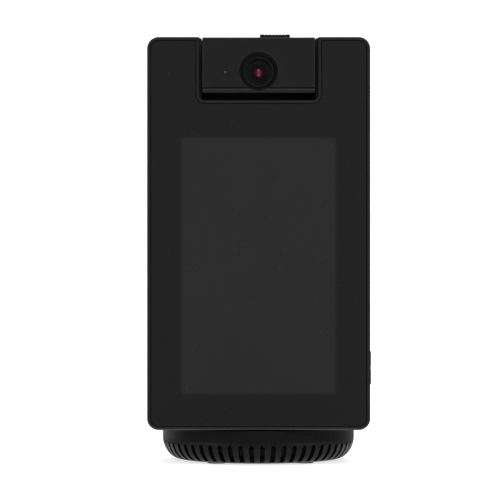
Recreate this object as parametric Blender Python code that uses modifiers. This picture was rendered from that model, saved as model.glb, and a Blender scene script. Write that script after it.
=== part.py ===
"""Smart display: a portrait screen with a tilting camera head, on a round base that it pans on.

Metres, +Z up. The origin is on the pan axis, on the plane that the feet rest on.
The screen faces -Y, and +X is on the viewer's right.
"""

import math

import bmesh
import bpy
from mathutils import Matrix, Vector

# ------------------------------------------------------------------ driving dimensions

GAP = 0.0003  # clearance between two separate pieces
PAST = 0.0010  # how far a cutter reaches past the faces that it opens
SCREW_RECESS = 0.0010  # radius of the hexagon in each screw's head
SCREW_RECESS_SHARE = 0.6  # its depth, as a share of the head's length

# Body: front housing and rear shell together
BODY_WIDTH = 0.0922
BODY_LOW = 0.0149
BODY_HIGH = 0.1773
BODY_CORNER = 0.0048
FACE_Y = -0.0410
SEAM_Y = -0.0290  # the front housing ends here and the rear shell begins
REAR_START_Y = SEAM_Y + GAP
BACK_Y = 0.0410
BACK_TOP_Y = 0.0
BACK_BEND_LOW = 0.026  # the back is upright below this height
BACK_BEND_HIGH = 0.060  # and a straight slope above this one
BACK_ROUND = 0.006
BACK_SQUARENESS = 2.6  # exponent of the rear shell's plan curve
WALL = 0.0020
EDGE_ROUND = 0.0011
GRILLE_SLOTS = 8
GRILLE_LOW = 0.0545
GRILLE_PITCH = 0.0034
GRILLE_SLOT = (0.0320, 0.0014)  # width and height of one slot

# Notch for the camera head
NOTCH_WIDTH = 0.0489
NOTCH_FLOOR = 0.1512
NOTCH_CORNER = 0.0022
EAR_CORNER = 0.0008
NOTCH_LIP = 0.0024  # thickness of the housing at the notch

# Glass and screen
GLASS_INSET = 0.0016
GLASS_THICK = 0.0011
GLASS_SEAT_Y = FACE_Y + GLASS_THICK + GAP
FRONT_WALL_BACK_Y = GLASS_SEAT_Y + 0.0018
SCREEN_WIDTH = 0.0649
SCREEN_LOW = 0.0292
SCREEN_HIGH = 0.1362
PANEL_EDGE = 0.0020  # how far the panel reaches past the lit area, at the sides
PANEL_TAIL = 0.0037  # and at its ends
PANEL_THICK = 0.0022
FRAME_THICK = 0.0012

# Camera head and its tilt axis
TILT_Y = -0.0270
TILT_Z = 0.1657
HEAD_HALF = 0.02335
HEAD_RADIUS = 0.0114
HEAD_LOW = TILT_Z - HEAD_RADIUS
HEAD_HIGH = TILT_Z + HEAD_RADIUS
HEAD_WALL = 0.0016
HEAD_FACE_WALL = 0.0020
HEAD_SEAM_Y = -0.0300
HEAD_LOW_ROUND = 0.0022
HEAD_TOP_ROUND = 0.0008
TILT_DOWN = 30.0  # degrees that the head tilts down; it tilts up as far
LENS_Z = 0.1631
LENS_RECESS_OUTER = 0.0080
LENS_RECESS_INNER = 0.0066
LENS_RING_Y = FACE_Y + 0.0031
LENS_RING_RADIUS = 0.0064
LENS_RADIUS = 0.0051
LENS_FRONT_RADIUS = 0.0040
LENS_THICK = 0.0011
BARREL_RADIUS = 0.0060
LIGHT_X = -0.0138
LIGHT_Z = 0.1627
LIGHT_RADIUS = 0.0005

# Trough that the head turns in
BAY_HALF = NOTCH_WIDTH / 2
BAY_CLOSE_HALF = HEAD_HALF + 0.0004  # the cheeks are this close to the head behind the step
BAY_STEP_Y = -0.0330
BAY_WALL = 0.0016
BAY_CHEEK = 0.0019
SWEEP_RADIUS = 0.0186  # clears the head's lower front edge as it tilts
BAY_RADIUS = 0.0122  # clears the head's round back
BAY_FRONT_Y = FACE_Y + NOTCH_LIP + GAP
SHAFT_RADIUS = 0.0024
SHAFT_END = 0.0300
BUSH_RADIUS = 0.0039
BUSH_LENGTH = 0.0027
BUSH_INNER_END = 0.0246

# Shutter
SHUTTER_TRAVEL = 0.0135
KNOB_X = SHUTTER_TRAVEL / 2
KNOB_WIDTH = 0.0125
KNOB_DEPTH = 0.0056
KNOB_Y = -0.0330
KNOB_RISE = 0.0016
STEM_WIDTH = 0.0040
STEM_DEPTH = 0.0016
BLADE_WIDTH = 0.0140
BLADE_THICK = 0.0005
BLADE_Y = -0.03845

# Side key
KEY_Z = 0.0405
KEY_HEIGHT = 0.0138
KEY_DEPTH = 0.0036
KEY_Y = -0.0350
KEY_PROUD = 0.00046
KEY_HINGE_X = 0.0440
KEY_INNER_X = 0.0430
KEY_FLANGE = 0.0008  # how far the flange that holds the key in reaches past it

# Base
BASE_RADIUS = 0.0408
BASE_HIGH = 0.0143
BASE_LOW = 0.0005
BASE_TOP_ROUND = 0.0005
BASE_ROUND_OUT = 0.0080  # the rounded lower edge's reach across
BASE_ROUND_UP = 0.0095  # and upwards
BASE_WALL = 0.0020
BASE_DECK = 0.0014
SLOT_COUNT = 56
SLOT_WIDTH = 0.0020
SLOT_HIGH = 0.0083
SLOT_LOW = 0.0012
SLOT_PHASE = math.radians(2.25)
FOOT_RADIUS = 0.0040
FOOT_RING = 0.0282
FOOT_ANGLE = math.radians(40)  # each foot's angle from the front or rear axis
FOOT_HEIGHT = 0.0010
BASE_SCREW_RING = 0.0220
BASE_SCREW_HEAD = (0.0006, 0.0008)  # height of the head's lower face, and the head's length
BASE_SCREW_TIP = 0.0095
BASE_PILOT = 0.0015
BASE_COVER = 0.0020
POST_RADIUS = 0.0030
WEIGHT_RADIUS = 0.0300
WEIGHT_LOW = 0.0028
WEIGHT_HIGH = 0.0062

# Power socket and its pocket, at the rear of the base
SOCKET_Z = 0.0099
SOCKET_SIZE = (0.0090, 0.0074, 0.0032)
SOCKET_BACK_Y = 0.0342
SOCKET_WALL = 0.0004
TONGUE_SIZE = (0.0066, 0.0060, 0.0006)
BEZEL_SIZE = (0.0142, 0.0031, 0.0060)
BEZEL_Y = 0.0345
BEZEL_WALL = 0.0008
BASE_BOARD_SIZE = (0.0240, 0.0187, 0.0012)

# Pan spindle
SPINDLE_RADIUS = 0.0076
SPINDLE_BORE = 0.0056
SPINDLE_HOLE = 0.0082
SPINDLE_HIGH = 0.0206
SPINDLE_FLOOR = 0.0145
SPINDLE_FLANGE = 0.0140
SPINDLE_CLEAR = 0.0004  # round the spindle

# Motors
PAN_MOTOR_RADIUS = 0.0120
PAN_MOTOR_LOW = 0.0270
PAN_MOTOR_HIGH = 0.0400
PAN_GEARBOX_HALF = 0.0105
PAN_GEARBOX_LOW = 0.0231
BRACKET_RADIUS = 0.0200
BRACKET_LOW = 0.0212
BRACKET_HIGH = 0.0227
BRACKET_LEG_RING = 0.0170
BRACKET_ANGLES = (30, 150, 270)
TILT_MOTOR_RADIUS = 0.0068
TILT_GEARBOX_HALF = 0.0060
TILT_GEARBOX_X = 0.0303
TILT_MOTOR_X = 0.0335
TILT_MOTOR_END = 0.0432

# Boards, given as (low corner, high corner)
MAIN_BOARD = ((-0.0300, -0.0318, 0.0400), (0.0300, -0.0306, 0.1250))
HEAT_SPREADER = ((-0.0180, -0.0303, 0.0600), (0.0180, -0.0291, 0.1050))
ANTENNA = ((-0.0420, -0.0240, 0.1580), (-0.0300, -0.0232, 0.1720))
KEY_SWITCH_BOARD = ((0.0405, -0.0372, 0.0345), (0.0417, -0.0325, 0.0470))
SENSOR_BOARD = ((-0.0085, -0.0258, 0.1575), (0.0085, -0.0246, 0.1735))

# Speaker, facing the grille in the back
SPEAKER_BOX = ((-0.0220, -0.0080, 0.0460), (0.0220, 0.0130, 0.0900))
SPEAKER_Z = 0.0670
SPEAKER_RADIUS = 0.0170
SPEAKER_DEPTH = 0.0050

# Screw towers that hold the rear shell to the front housing
TOWER_X = 0.0395
TOWER_HEIGHTS = (0.0300, 0.1500)
TOWER_RADIUS = 0.0038
BOSS_RADIUS = 0.0034
PILOT_RADIUS = 0.0016
WELL_RADIUS = 0.0027
SCREW_HEAD_RADIUS = 0.0024
SCREW_SEAT_Y = -0.0200
SCREW_TIP_Y = -0.0345

# ------------------------------------------------------------------ scene and materials

for old in list(bpy.data.objects):
    bpy.data.objects.remove(old)

model = bpy.data.collections.new("smart_display")
cutters = bpy.data.collections.new("cutters")
bpy.context.scene.collection.children.link(model)
bpy.context.scene.collection.children.link(cutters)


def make_material(name, colour, roughness, metallic=0.0):
    material = bpy.data.materials.new(name)
    material.use_nodes = True
    shader = material.node_tree.nodes["Principled BSDF"]
    shader.inputs["Base Color"].default_value = (*colour, 1.0)
    shader.inputs["Roughness"].default_value = roughness
    shader.inputs["Metallic"].default_value = metallic
    return material


BLACK = make_material("black_plastic", (0.017, 0.017, 0.018), 0.45)
GLOSS = make_material("gloss_black", (0.015, 0.015, 0.016), 0.12)
GLASS = make_material("lens_glass", (0.05, 0.02, 0.03), 0.05)
SCREEN = make_material("screen", (0.027, 0.027, 0.028), 0.2)
RUBBER = make_material("rubber", (0.02, 0.02, 0.02), 0.8)
STEEL = make_material("steel", (0.5, 0.5, 0.52), 0.35, 1.0)
BOARD = make_material("circuit_board", (0.02, 0.09, 0.05), 0.5)
WHITE = make_material("light_pipe", (0.3, 0.3, 0.3), 0.4)
ACETAL = make_material("acetal", (0.7, 0.7, 0.66), 0.5)

# ------------------------------------------------------------------ modelling helpers


def add(name, mesh, material):
    obj = bpy.data.objects.new(name, mesh)
    obj.data.materials.append(material)
    model.objects.link(obj)
    return obj


def finish_mesh(name, bm):
    """The mesh of an edit mesh, welded and with its faces pointing out."""
    bmesh.ops.remove_doubles(bm, verts=bm.verts, dist=1e-7)
    bmesh.ops.recalc_face_normals(bm, faces=bm.faces)
    mesh = bpy.data.meshes.new(name)
    bm.to_mesh(mesh)
    bm.free()
    return mesh


def box(name, low, high, material=BLACK, bevel=0.0):
    low, high = Vector(low), Vector(high)
    bm = bmesh.new()
    bmesh.ops.create_cube(bm, size=1.0, matrix=Matrix.Diagonal((*(high - low), 1.0)))
    obj = add(name, finish_mesh(name, bm), material)
    obj.location = (low + high) / 2
    if bevel:
        modifier = obj.modifiers.new("edges", "BEVEL")
        modifier.width = bevel
        modifier.segments = 2
        modifier.limit_method = "NONE"
    return obj


def rod(name, start, end, radius, material=BLACK, sides=16, end_radius=None):
    """A cylinder, or a cone where end_radius is given, between two points."""
    start, end = Vector(start), Vector(end)
    bm = bmesh.new()
    bmesh.ops.create_cone(
        bm,
        cap_ends=True,
        segments=sides,
        radius1=radius,
        radius2=radius if end_radius is None else end_radius,
        depth=(end - start).length,
    )
    obj = add(name, finish_mesh(name, bm), material)
    obj.data.shade_smooth()
    obj.data.set_sharp_from_angle(angle=math.radians(40))
    obj.location = (start + end) / 2
    obj.rotation_euler = (end - start).to_track_quat("Z", "Y").to_euler()
    return obj


AXIS_TURNS = {"X": (0, math.pi / 2, 0), "Y": (-math.pi / 2, 0, 0), "Z": (0, 0, 0)}


def turned(name, profile, material=BLACK, steps=32, axis="Z", centre=(0, 0, 0)):
    """A closed outline of (radius, height) turned about an axis; its outer side runs downwards."""
    mesh = bpy.data.meshes.new(name)
    count = len(profile)
    mesh.from_pydata(
        [(radius, 0, height) for radius, height in profile],
        [(i, (i + 1) % count) for i in range(count)],
        [],
    )
    obj = add(name, mesh, material)
    obj.location = centre
    obj.rotation_euler = AXIS_TURNS[axis]
    screw = obj.modifiers.new("turn", "SCREW")
    screw.steps = steps
    screw.render_steps = steps
    screw.merge_threshold = 1e-6
    screw.use_merge_vertices = True
    return obj


def ring(name, inner, outer, low, high, material, steps=24, axis="Z", centre=(0, 0, 0)):
    """A flat-ended ring between two heights along its axis."""
    profile = [(outer, high), (outer, low), (inner, low), (inner, high)]
    return turned(name, profile, material, steps, axis, centre)


# Where a flat outline's own x, y and normal go in the world, by the axis of its thickness
OUTLINE_TURNS = {
    "X": Matrix(((0, 0, 1), (1, 0, 0), (0, 1, 0))),
    "Y": Matrix(((1, 0, 0), (0, 0, -1), (0, 1, 0))),
    "Z": Matrix.Identity(3),
}


def slab(name, outlines, low, high, material=BLACK, axis="Y"):
    """Flat outlines, holes included, as a solid from low to high along an axis."""
    curve = bpy.data.curves.new(name, "CURVE")
    curve.dimensions = "2D"
    curve.fill_mode = "BOTH"
    curve.extrude = (high - low) / 2
    for outline in outlines:
        spline = curve.splines.new("POLY")
        spline.points.add(len(outline) - 1)
        spline.use_cyclic_u = True
        for point, (across, up) in zip(spline.points, outline):
            point.co = (across, up, 0, 1)
    holder = bpy.data.objects.new(name + "_outline", curve)
    model.objects.link(holder)
    depsgraph = bpy.context.evaluated_depsgraph_get()
    filled = bpy.data.meshes.new_from_object(holder.evaluated_get(depsgraph))
    bm = bmesh.new()
    bm.from_mesh(filled)
    bmesh.ops.transform(bm, matrix=OUTLINE_TURNS[axis].to_4x4(), verts=bm.verts)
    bpy.data.objects.remove(holder)
    obj = add(name, finish_mesh(name, bm), material)
    obj.location["XYZ".index(axis)] = (low + high) / 2
    return obj


def loft(name, rings, material=BLACK):
    """A closed solid through rings of equally many points, capped at both ends."""
    bm = bmesh.new()
    rows = [[bm.verts.new(point) for point in points] for points in rings]
    for lower, upper in zip(rows, rows[1:]):
        for i in range(len(lower)):
            j = (i + 1) % len(lower)
            bm.faces.new((lower[i], lower[j], upper[j], upper[i]))
    bm.faces.new(rows[0])
    bm.faces.new(rows[-1])
    return add(name, finish_mesh(name, bm), material)


def combine(target, operation, *tools):
    """Boolean modifiers on target, one for each tool; the tools become wire helpers."""
    for tool in tools:
        modifier = target.modifiers.new(tool.name, "BOOLEAN")
        modifier.operation = operation
        modifier.object = tool
        tool.hide_render = True
        tool.display_type = "WIRE"
        if tool.name in model.objects:
            model.objects.unlink(tool)
            cutters.objects.link(tool)
    return target


def cut(target, *tools):
    return combine(target, "DIFFERENCE", *tools)


def join(target, *tools):
    return combine(target, "UNION", *tools)


def arc(centre, radius, start, end, steps=4, rise=None):
    """Points on an arc between angles in degrees, or on an ellipse whose upright half axis is rise."""
    rise = radius if rise is None else rise
    angles = [math.radians(start + (end - start) * i / steps) for i in range(steps + 1)]
    return [(centre[0] + radius * math.cos(a), centre[1] + rise * math.sin(a)) for a in angles]


def rectangle(low, high):
    return [(low[0], low[1]), (high[0], low[1]), (high[0], high[1]), (low[0], high[1])]


def polar(radius, angle, height):
    return (radius * math.cos(angle), radius * math.sin(angle), height)


# ------------------------------------------------------------------ shapes shared by several pieces


def face_outline(inset=0.0):
    """The notched outline of the face, moved inwards, as (x, z) points."""
    side = BODY_WIDTH / 2 - inset
    low = BODY_LOW + inset
    high = BODY_HIGH - inset
    corner = BODY_CORNER - inset
    notch = NOTCH_WIDTH / 2 + inset
    floor = NOTCH_FLOOR - inset
    hollow = NOTCH_CORNER + inset
    ear = max(EAR_CORNER - inset, 0.0001)
    points = arc((-side + corner, low + corner), corner, 180, 270)
    points += arc((side - corner, low + corner), corner, 270, 360)
    points += arc((side - corner, high - corner), corner, 0, 90)
    points += arc((notch + ear, high - ear), ear, 90, 180, 2)
    points += arc((notch - hollow, floor + hollow), hollow, 0, -90)
    points += arc((-notch + hollow, floor + hollow), hollow, -90, -180)
    points += arc((-notch - ear, high - ear), ear, 0, -270 + 360, 2)
    points += arc((-side + corner, high - corner), corner, 90, 180)
    return points


def half_width(height, inset):
    """Half the width of the un-notched body at a height, moved inwards."""
    side = BODY_WIDTH / 2 - inset
    corner = BODY_CORNER - inset
    from_edge = min(height - BODY_LOW, BODY_HIGH - height) - inset
    short = max(corner - from_edge, 0.0)
    return side - corner + math.sqrt(max(corner**2 - short**2, 0.0))


BACK_SLOPE = (BACK_Y - BACK_TOP_Y) / (BODY_HIGH - (BACK_BEND_LOW + BACK_BEND_HIGH) / 2)


def back_y(height, inset):
    """How far back the rear shell reaches at a height, moved inwards."""
    if height < BACK_BEND_LOW:
        back = BACK_Y
    elif height < BACK_BEND_HIGH:
        span = BACK_BEND_HIGH - BACK_BEND_LOW
        back = BACK_Y - BACK_SLOPE / (2 * span) * (height - BACK_BEND_LOW) ** 2
    else:
        back = BACK_TOP_Y + BACK_SLOPE * (BODY_HIGH - height)
    rounding = BACK_ROUND - inset
    from_edge = min(height - BODY_LOW, BODY_HIGH - height) - inset
    short = max(rounding - from_edge, 0.0)
    return back - inset - rounding + math.sqrt(max(rounding**2 - short**2, 0.0))


def rear_solid(name, front_y, inset=0.0, segments=24):
    """The wedge-shaped rear volume, lofted from level sections."""
    low, high = BODY_LOW + inset, BODY_HIGH - inset
    rounding = BACK_ROUND - inset
    rises = [rounding * (1 - math.cos(math.radians(a))) for a in (0, 30, 60, 90)]
    heights = [low + rise for rise in rises]
    heights += [BACK_BEND_LOW, 0.0375, 0.049, BACK_BEND_HIGH, 0.110]
    heights += [high - rise for rise in reversed(rises)]
    rings = []
    for height in heights:
        half, depth = half_width(height, inset), back_y(height, inset) - REAR_START_Y
        points = []
        for i in range(segments + 1):
            turn = math.pi * i / segments
            across = math.copysign(abs(math.cos(turn)) ** (2 / BACK_SQUARENESS), math.cos(turn))
            back = max(math.sin(turn), 0.0) ** (2 / BACK_SQUARENESS)
            points.append((half * across, REAR_START_Y + depth * back, height))
        if front_y < REAR_START_Y:
            points += [(-half, front_y, height), (half, front_y, height)]
        rings.append(points)
    return loft(name, rings)


def sweep_angle(y, radius):
    """Where a circle about the tilt axis meets a depth below the axis, in degrees."""
    return 360 - math.degrees(math.acos((y - TILT_Y) / radius))


def bay_outline(grow, open_front, open_top):
    """The trough's section as (y, z).

    It sweeps below the head's front edge, then follows the head's flat underside as it lies when the
    head looks down, and then the head's round back."""
    centre = (TILT_Y, TILT_Z)
    sweep, close = SWEEP_RADIUS + grow, BAY_RADIUS + grow
    tangent = 270 + TILT_DOWN
    sweep_end = tangent - math.degrees(math.acos(close / sweep))
    points = arc(centre, sweep, sweep_angle(open_front, sweep), sweep_end, 4)
    points += arc(centre, close, tangent, 360, 6)
    return points + [(TILT_Y + close, open_top), (open_front, open_top)]


def bay_mouth_outline(open_front, open_top):
    """The trough's section ahead of the step in its cheeks, as (y, z)."""
    first, last = (sweep_angle(y, SWEEP_RADIUS) for y in (open_front, BAY_STEP_Y))
    points = arc((TILT_Y, TILT_Z), SWEEP_RADIUS, first, last, 4)
    return points + [(BAY_STEP_Y, open_top), (open_front, open_top)]


def head_outline(front_y, grow=0.0):
    """The camera head's section as (y, z): a square front with rounded edges and a round back."""
    low, high = HEAD_LOW - grow, HEAD_HIGH + grow
    bottom, top = HEAD_LOW_ROUND + grow, max(HEAD_TOP_ROUND + grow, 0.0002)
    points = arc((front_y + top, high - top), top, 90, 180, 2)
    points += arc((front_y + bottom, low + bottom), bottom, 180, 270, 4)
    return points + arc((TILT_Y, TILT_Z), HEAD_RADIUS + grow, -90, 90, 12)


def screw(name, head, tip, head_radius, head_length, shank_radius):
    """A plain cap screw from the outer face of its head to its tip."""
    head, tip = Vector(head), Vector(tip)
    along = (tip - head).normalized()
    body = rod(name, head, head + along * head_length, head_radius, STEEL, 12)
    shank = rod("cut_" + name, head + along * head_length / 2, tip, shank_radius, STEEL, 12)
    recess_floor = head + along * head_length * SCREW_RECESS_SHARE
    recess = rod("cut_recess_" + name, head - along * PAST, recess_floor, SCREW_RECESS, STEEL, 6)
    return cut(join(body, shank), recess)


# ------------------------------------------------------------------ base


def make_base_shell():
    centre = (BASE_RADIUS - BASE_ROUND_OUT, BASE_LOW + BASE_ROUND_UP)
    top_centre = (BASE_RADIUS - BASE_TOP_ROUND, BASE_HIGH - BASE_TOP_ROUND)
    hole = SPINDLE_RADIUS + SPINDLE_CLEAR
    under_deck = BASE_HIGH - BASE_DECK
    profile = [(hole, BASE_HIGH)]
    profile += arc(top_centre, BASE_TOP_ROUND, 90, 0, 1)
    profile += arc(centre, BASE_ROUND_OUT, 0, -90, 6, BASE_ROUND_UP)
    profile += arc(centre, BASE_ROUND_OUT - BASE_WALL, -90, 0, 4, BASE_ROUND_UP - BASE_WALL)
    profile += [(BASE_RADIUS - BASE_WALL, under_deck), (hole, under_deck)]
    shell = turned("base_shell", profile, BLACK, SLOT_COUNT)
    pitch = math.tau / SLOT_COUNT
    shell.rotation_euler.z = SLOT_PHASE - pitch / 2

    socket_room = [size / 2 + GAP for size in BEZEL_SIZE]
    pocket = box(
        "cut_socket",
        (-socket_room[0] + BEZEL_WALL + GAP, BEZEL_Y - PAST, SOCKET_Z - socket_room[2] + BEZEL_WALL + GAP),
        (socket_room[0] - BEZEL_WALL - GAP, BASE_RADIUS + PAST, SOCKET_Z + socket_room[2] - BEZEL_WALL - GAP),
    )
    bezel_seat = box(
        "cut_bezel_seat",
        (-socket_room[0], BEZEL_Y - PAST, SOCKET_Z - socket_room[2]),
        (socket_room[0], BEZEL_Y + BEZEL_SIZE[1] + GAP, SOCKET_Z + socket_room[2]),
    )
    cut(shell, make_slot_cutter(centre[0] - BASE_TOP_ROUND, pitch), pocket, bezel_seat)
    for i, (x, y, _) in enumerate(base_screw_places(), 1):
        post_low = (x, y, BASE_LOW + BASE_COVER + GAP)
        post = rod(f"cut_post_{i}", post_low, (x, y, under_deck + GAP), POST_RADIUS, BLACK, 12)
        pilot = rod(f"cut_pilot_{i}", (x, y, BASE_LOW), (x, y, BASE_SCREW_TIP + PAST), BASE_PILOT, BLACK, 8)
        cut(join(shell, post), pilot)
    return shell


def make_slot_cutter(inner, pitch):
    """The slots round the base as one cutter, each round at its top, with none at the power socket."""
    half = SLOT_WIDTH / 2
    outline = [(-half, SLOT_LOW), (half, SLOT_LOW)] + arc((0, SLOT_HIGH - half), half, 0, 180, 4)
    one = slab("cut_slot", [outline], inner, BASE_RADIUS + PAST)
    bm = bmesh.new()
    plain_half = BEZEL_SIZE[0] / 2 + SLOT_WIDTH
    for i in range(SLOT_COUNT):
        across, back = (BASE_RADIUS * turn(i * pitch + SLOT_PHASE) for turn in (math.sin, math.cos))
        if back > 0 and abs(across) < plain_half:
            continue
        start = len(bm.verts)
        bm.from_mesh(one.data)
        bm.verts.ensure_lookup_table()
        turn = Matrix.Rotation(i * pitch + SLOT_PHASE, 4, "Z") @ Matrix.Translation(one.location)
        bmesh.ops.transform(bm, matrix=turn, verts=bm.verts[start:])
    bpy.data.objects.remove(one)
    return add("cut_slots", finish_mesh("cut_slots", bm), BLACK)


def base_screw_places():
    return [polar(BASE_SCREW_RING, math.radians(angle), 0.0) for angle in BRACKET_ANGLES]


def foot_places():
    half_turn = math.pi / 2
    angles = [side * half_turn + sign * FOOT_ANGLE for side in (-1, 1) for sign in (-1, 1)]
    return [polar(FOOT_RING, angle + SLOT_PHASE, 0.0) for angle in angles]


def make_base_bottom():
    radius = BASE_RADIUS - BASE_ROUND_OUT - GAP
    cover_high = BASE_LOW + BASE_COVER
    cover = rod("base_bottom_cover", (0, 0, BASE_LOW), (0, 0, cover_high), radius, BLACK, 56)
    for i, (x, y, _) in enumerate(foot_places(), 1):
        seat = rod(f"cut_seat_{i}", (x, y, -PAST), (x, y, FOOT_HEIGHT + GAP), FOOT_RADIUS + GAP)
        cut(cover, seat)
        rod(f"foot_{i}", (x, y, 0), (x, y, FOOT_HEIGHT), FOOT_RADIUS, RUBBER)
    head_high = BASE_SCREW_HEAD[0] + BASE_SCREW_HEAD[1]
    for i, (x, y, _) in enumerate(base_screw_places(), 1):
        seat_high = (x, y, head_high + GAP)
        seat = rod(f"cut_head_{i}", (x, y, -PAST), seat_high, SCREW_HEAD_RADIUS + GAP, BLACK, 12)
        hole = rod(f"cut_hole_{i}", (x, y, -PAST), (x, y, cover_high + PAST), BASE_PILOT, BLACK, 12)
        cut(cover, seat, hole)
        head = (x, y, BASE_SCREW_HEAD[0])
        tip = (x, y, BASE_SCREW_TIP)
        screw(f"base_screw_{i}", head, tip, SCREW_HEAD_RADIUS, BASE_SCREW_HEAD[1], BASE_PILOT - GAP)

    bore = SPINDLE_BORE + BASE_WALL
    weight = ring("counterweight_plate", bore, WEIGHT_RADIUS, WEIGHT_LOW, WEIGHT_HIGH, STEEL, 32)
    for i, (x, y, _) in enumerate(base_screw_places(), 1):
        low, high = (x, y, WEIGHT_LOW - PAST), (x, y, WEIGHT_HIGH + PAST)
        cut(weight, rod(f"cut_weight_{i}", low, high, POST_RADIUS + GAP, BLACK, 12))


def make_power_inlet():
    width, depth, height = (size / 2 for size in SOCKET_SIZE)
    front_y = SOCKET_BACK_Y - SOCKET_SIZE[1]
    body = box(
        "usb_socket",
        (-width, front_y, SOCKET_Z - height),
        (width, SOCKET_BACK_Y, SOCKET_Z + height),
        STEEL,
    )
    mouth = box(
        "cut_mouth",
        (-width + SOCKET_WALL, SOCKET_BACK_Y - TONGUE_SIZE[1], SOCKET_Z - height + SOCKET_WALL),
        (width - SOCKET_WALL, SOCKET_BACK_Y + PAST, SOCKET_Z + height - SOCKET_WALL),
    )
    tongue_half, tongue_thick = TONGUE_SIZE[0] / 2, TONGUE_SIZE[2] / 2
    tongue = box(
        "cut_tongue",
        (-tongue_half, front_y + SOCKET_WALL, SOCKET_Z - tongue_thick),
        (tongue_half, SOCKET_BACK_Y - SOCKET_WALL, SOCKET_Z + tongue_thick),
    )
    join(cut(body, mouth), tongue)

    board_high = SOCKET_Z - height - GAP
    box(
        "base_power_board",
        (-BASE_BOARD_SIZE[0] / 2, SOCKET_BACK_Y - BASE_BOARD_SIZE[1], board_high - BASE_BOARD_SIZE[2]),
        (BASE_BOARD_SIZE[0] / 2, SOCKET_BACK_Y, board_high),
        BOARD,
    )
    bezel_half, bezel_deep, bezel_tall = BEZEL_SIZE[0] / 2, BEZEL_SIZE[1], BEZEL_SIZE[2] / 2
    bezel = box(
        "usb_bezel",
        (-bezel_half, BEZEL_Y, SOCKET_Z - bezel_tall),
        (bezel_half, BEZEL_Y + bezel_deep, SOCKET_Z + bezel_tall),
    )
    opening = box(
        "cut_bezel",
        (-bezel_half + BEZEL_WALL, BEZEL_Y - PAST, SOCKET_Z - bezel_tall + BEZEL_WALL),
        (bezel_half - BEZEL_WALL, BEZEL_Y + bezel_deep + PAST, SOCKET_Z + bezel_tall - BEZEL_WALL),
    )
    cut(bezel, opening)


def make_pan_drive():
    under_deck = BASE_HIGH - BASE_DECK
    flange_low, flange_high = under_deck - 0.0020, under_deck - GAP
    profile = [
        (SPINDLE_RADIUS, SPINDLE_HIGH),
        (SPINDLE_RADIUS, flange_high),
        (SPINDLE_FLANGE, flange_high),
        (SPINDLE_FLANGE, flange_low),
        (SHAFT_RADIUS + GAP, flange_low),
        (SHAFT_RADIUS + GAP, SPINDLE_FLOOR),
        (SPINDLE_BORE, SPINDLE_FLOOR),
        (SPINDLE_BORE, SPINDLE_HIGH),
    ]
    turned("pan_spindle", profile, ACETAL, 24)
    inner = SPINDLE_RADIUS + SPINDLE_CLEAR
    washer_low = BODY_LOW + WALL + 0.0005
    washer_high = washer_low + 0.0005
    ring("pan_thrust_washer", inner, 0.0130, washer_low, washer_high, ACETAL)
    ring_low = washer_high + GAP
    ring("pan_retaining_ring", inner, 0.0120, ring_low, ring_low + 0.0012, STEEL)
    shaft_high = PAN_GEARBOX_LOW - GAP
    rod("pan_drive_shaft", (0, 0, flange_low + GAP), (0, 0, shaft_high), SHAFT_RADIUS, STEEL, 12)


# ------------------------------------------------------------------ display body


def make_front_housing():
    rings = []
    for angle in (0, 30, 60, 90):
        turn = math.radians(angle)
        inset = EDGE_ROUND * (1 - math.sin(turn))
        y = FACE_Y + EDGE_ROUND * (1 - math.cos(turn))
        rings.append([(x, y, z) for x, z in face_outline(inset)])
    rings.append([(x, SEAM_Y, z) for x, z in face_outline()])
    housing = loft("front_housing", rings)
    glass_seat = slab("cut_glass_seat", [face_outline(GLASS_INSET - GAP)], FACE_Y - PAST, GLASS_SEAT_Y)
    inside = slab("cut_inside", [face_outline(WALL)], FRONT_WALL_BACK_Y, SEAM_Y + PAST)
    border = 2 * GAP
    half = SCREEN_WIDTH / 2 + border
    window = box(
        "cut_window",
        (-half, GLASS_SEAT_Y - PAST, SCREEN_LOW - border),
        (half, FRONT_WALL_BACK_Y + PAST, SCREEN_HIGH + border),
    )
    key_half = (KEY_DEPTH / 2 + GAP, KEY_HEIGHT / 2 + GAP)
    side = BODY_WIDTH / 2
    key_hole = box(
        "cut_key_hole",
        (side - 2 * WALL, KEY_Y - key_half[0], KEY_Z - key_half[1]),
        (side + WALL, KEY_Y + key_half[0], KEY_Z + key_half[1]),
    )
    bay_half = BAY_HALF + BAY_CHEEK + GAP
    bay_space = box(
        "cut_bay_front",
        (-bay_half, FACE_Y + NOTCH_LIP, TILT_Z - SWEEP_RADIUS - BAY_WALL - GAP),
        (bay_half, SEAM_Y + PAST, BODY_HIGH + PAST),
    )
    cut(housing, glass_seat, inside, window, key_hole, bay_space)
    for x, z, name in tower_places():
        start, end = (x, FRONT_WALL_BACK_Y - GAP, z), (x, SEAM_Y - GAP, z)
        post = rod("cut_boss_" + name, start, end, BOSS_RADIUS, BLACK, 12)
        floor = (x, SCREW_TIP_Y - PAST, z)
        pilot = rod("cut_boss_hole_" + name, floor, (x, SEAM_Y + PAST, z), PILOT_RADIUS, BLACK, 8)
        cut(join(housing, post), pilot)
    return housing


def tower_places():
    return [
        (side * TOWER_X, z, f"{level}_{word}")
        for z, level in zip(TOWER_HEIGHTS, ("low", "high"))
        for side, word in ((-1, "left"), (1, "right"))
    ]


def bay_cutter(name):
    """The camera bay's outer volume with its clearance, open above."""
    outline = bay_outline(BAY_WALL + GAP, FACE_Y + NOTCH_LIP, BODY_HIGH + PAST)
    half = BAY_HALF + BAY_CHEEK + GAP
    return slab(name, [outline], -half, half, axis="X")


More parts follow.
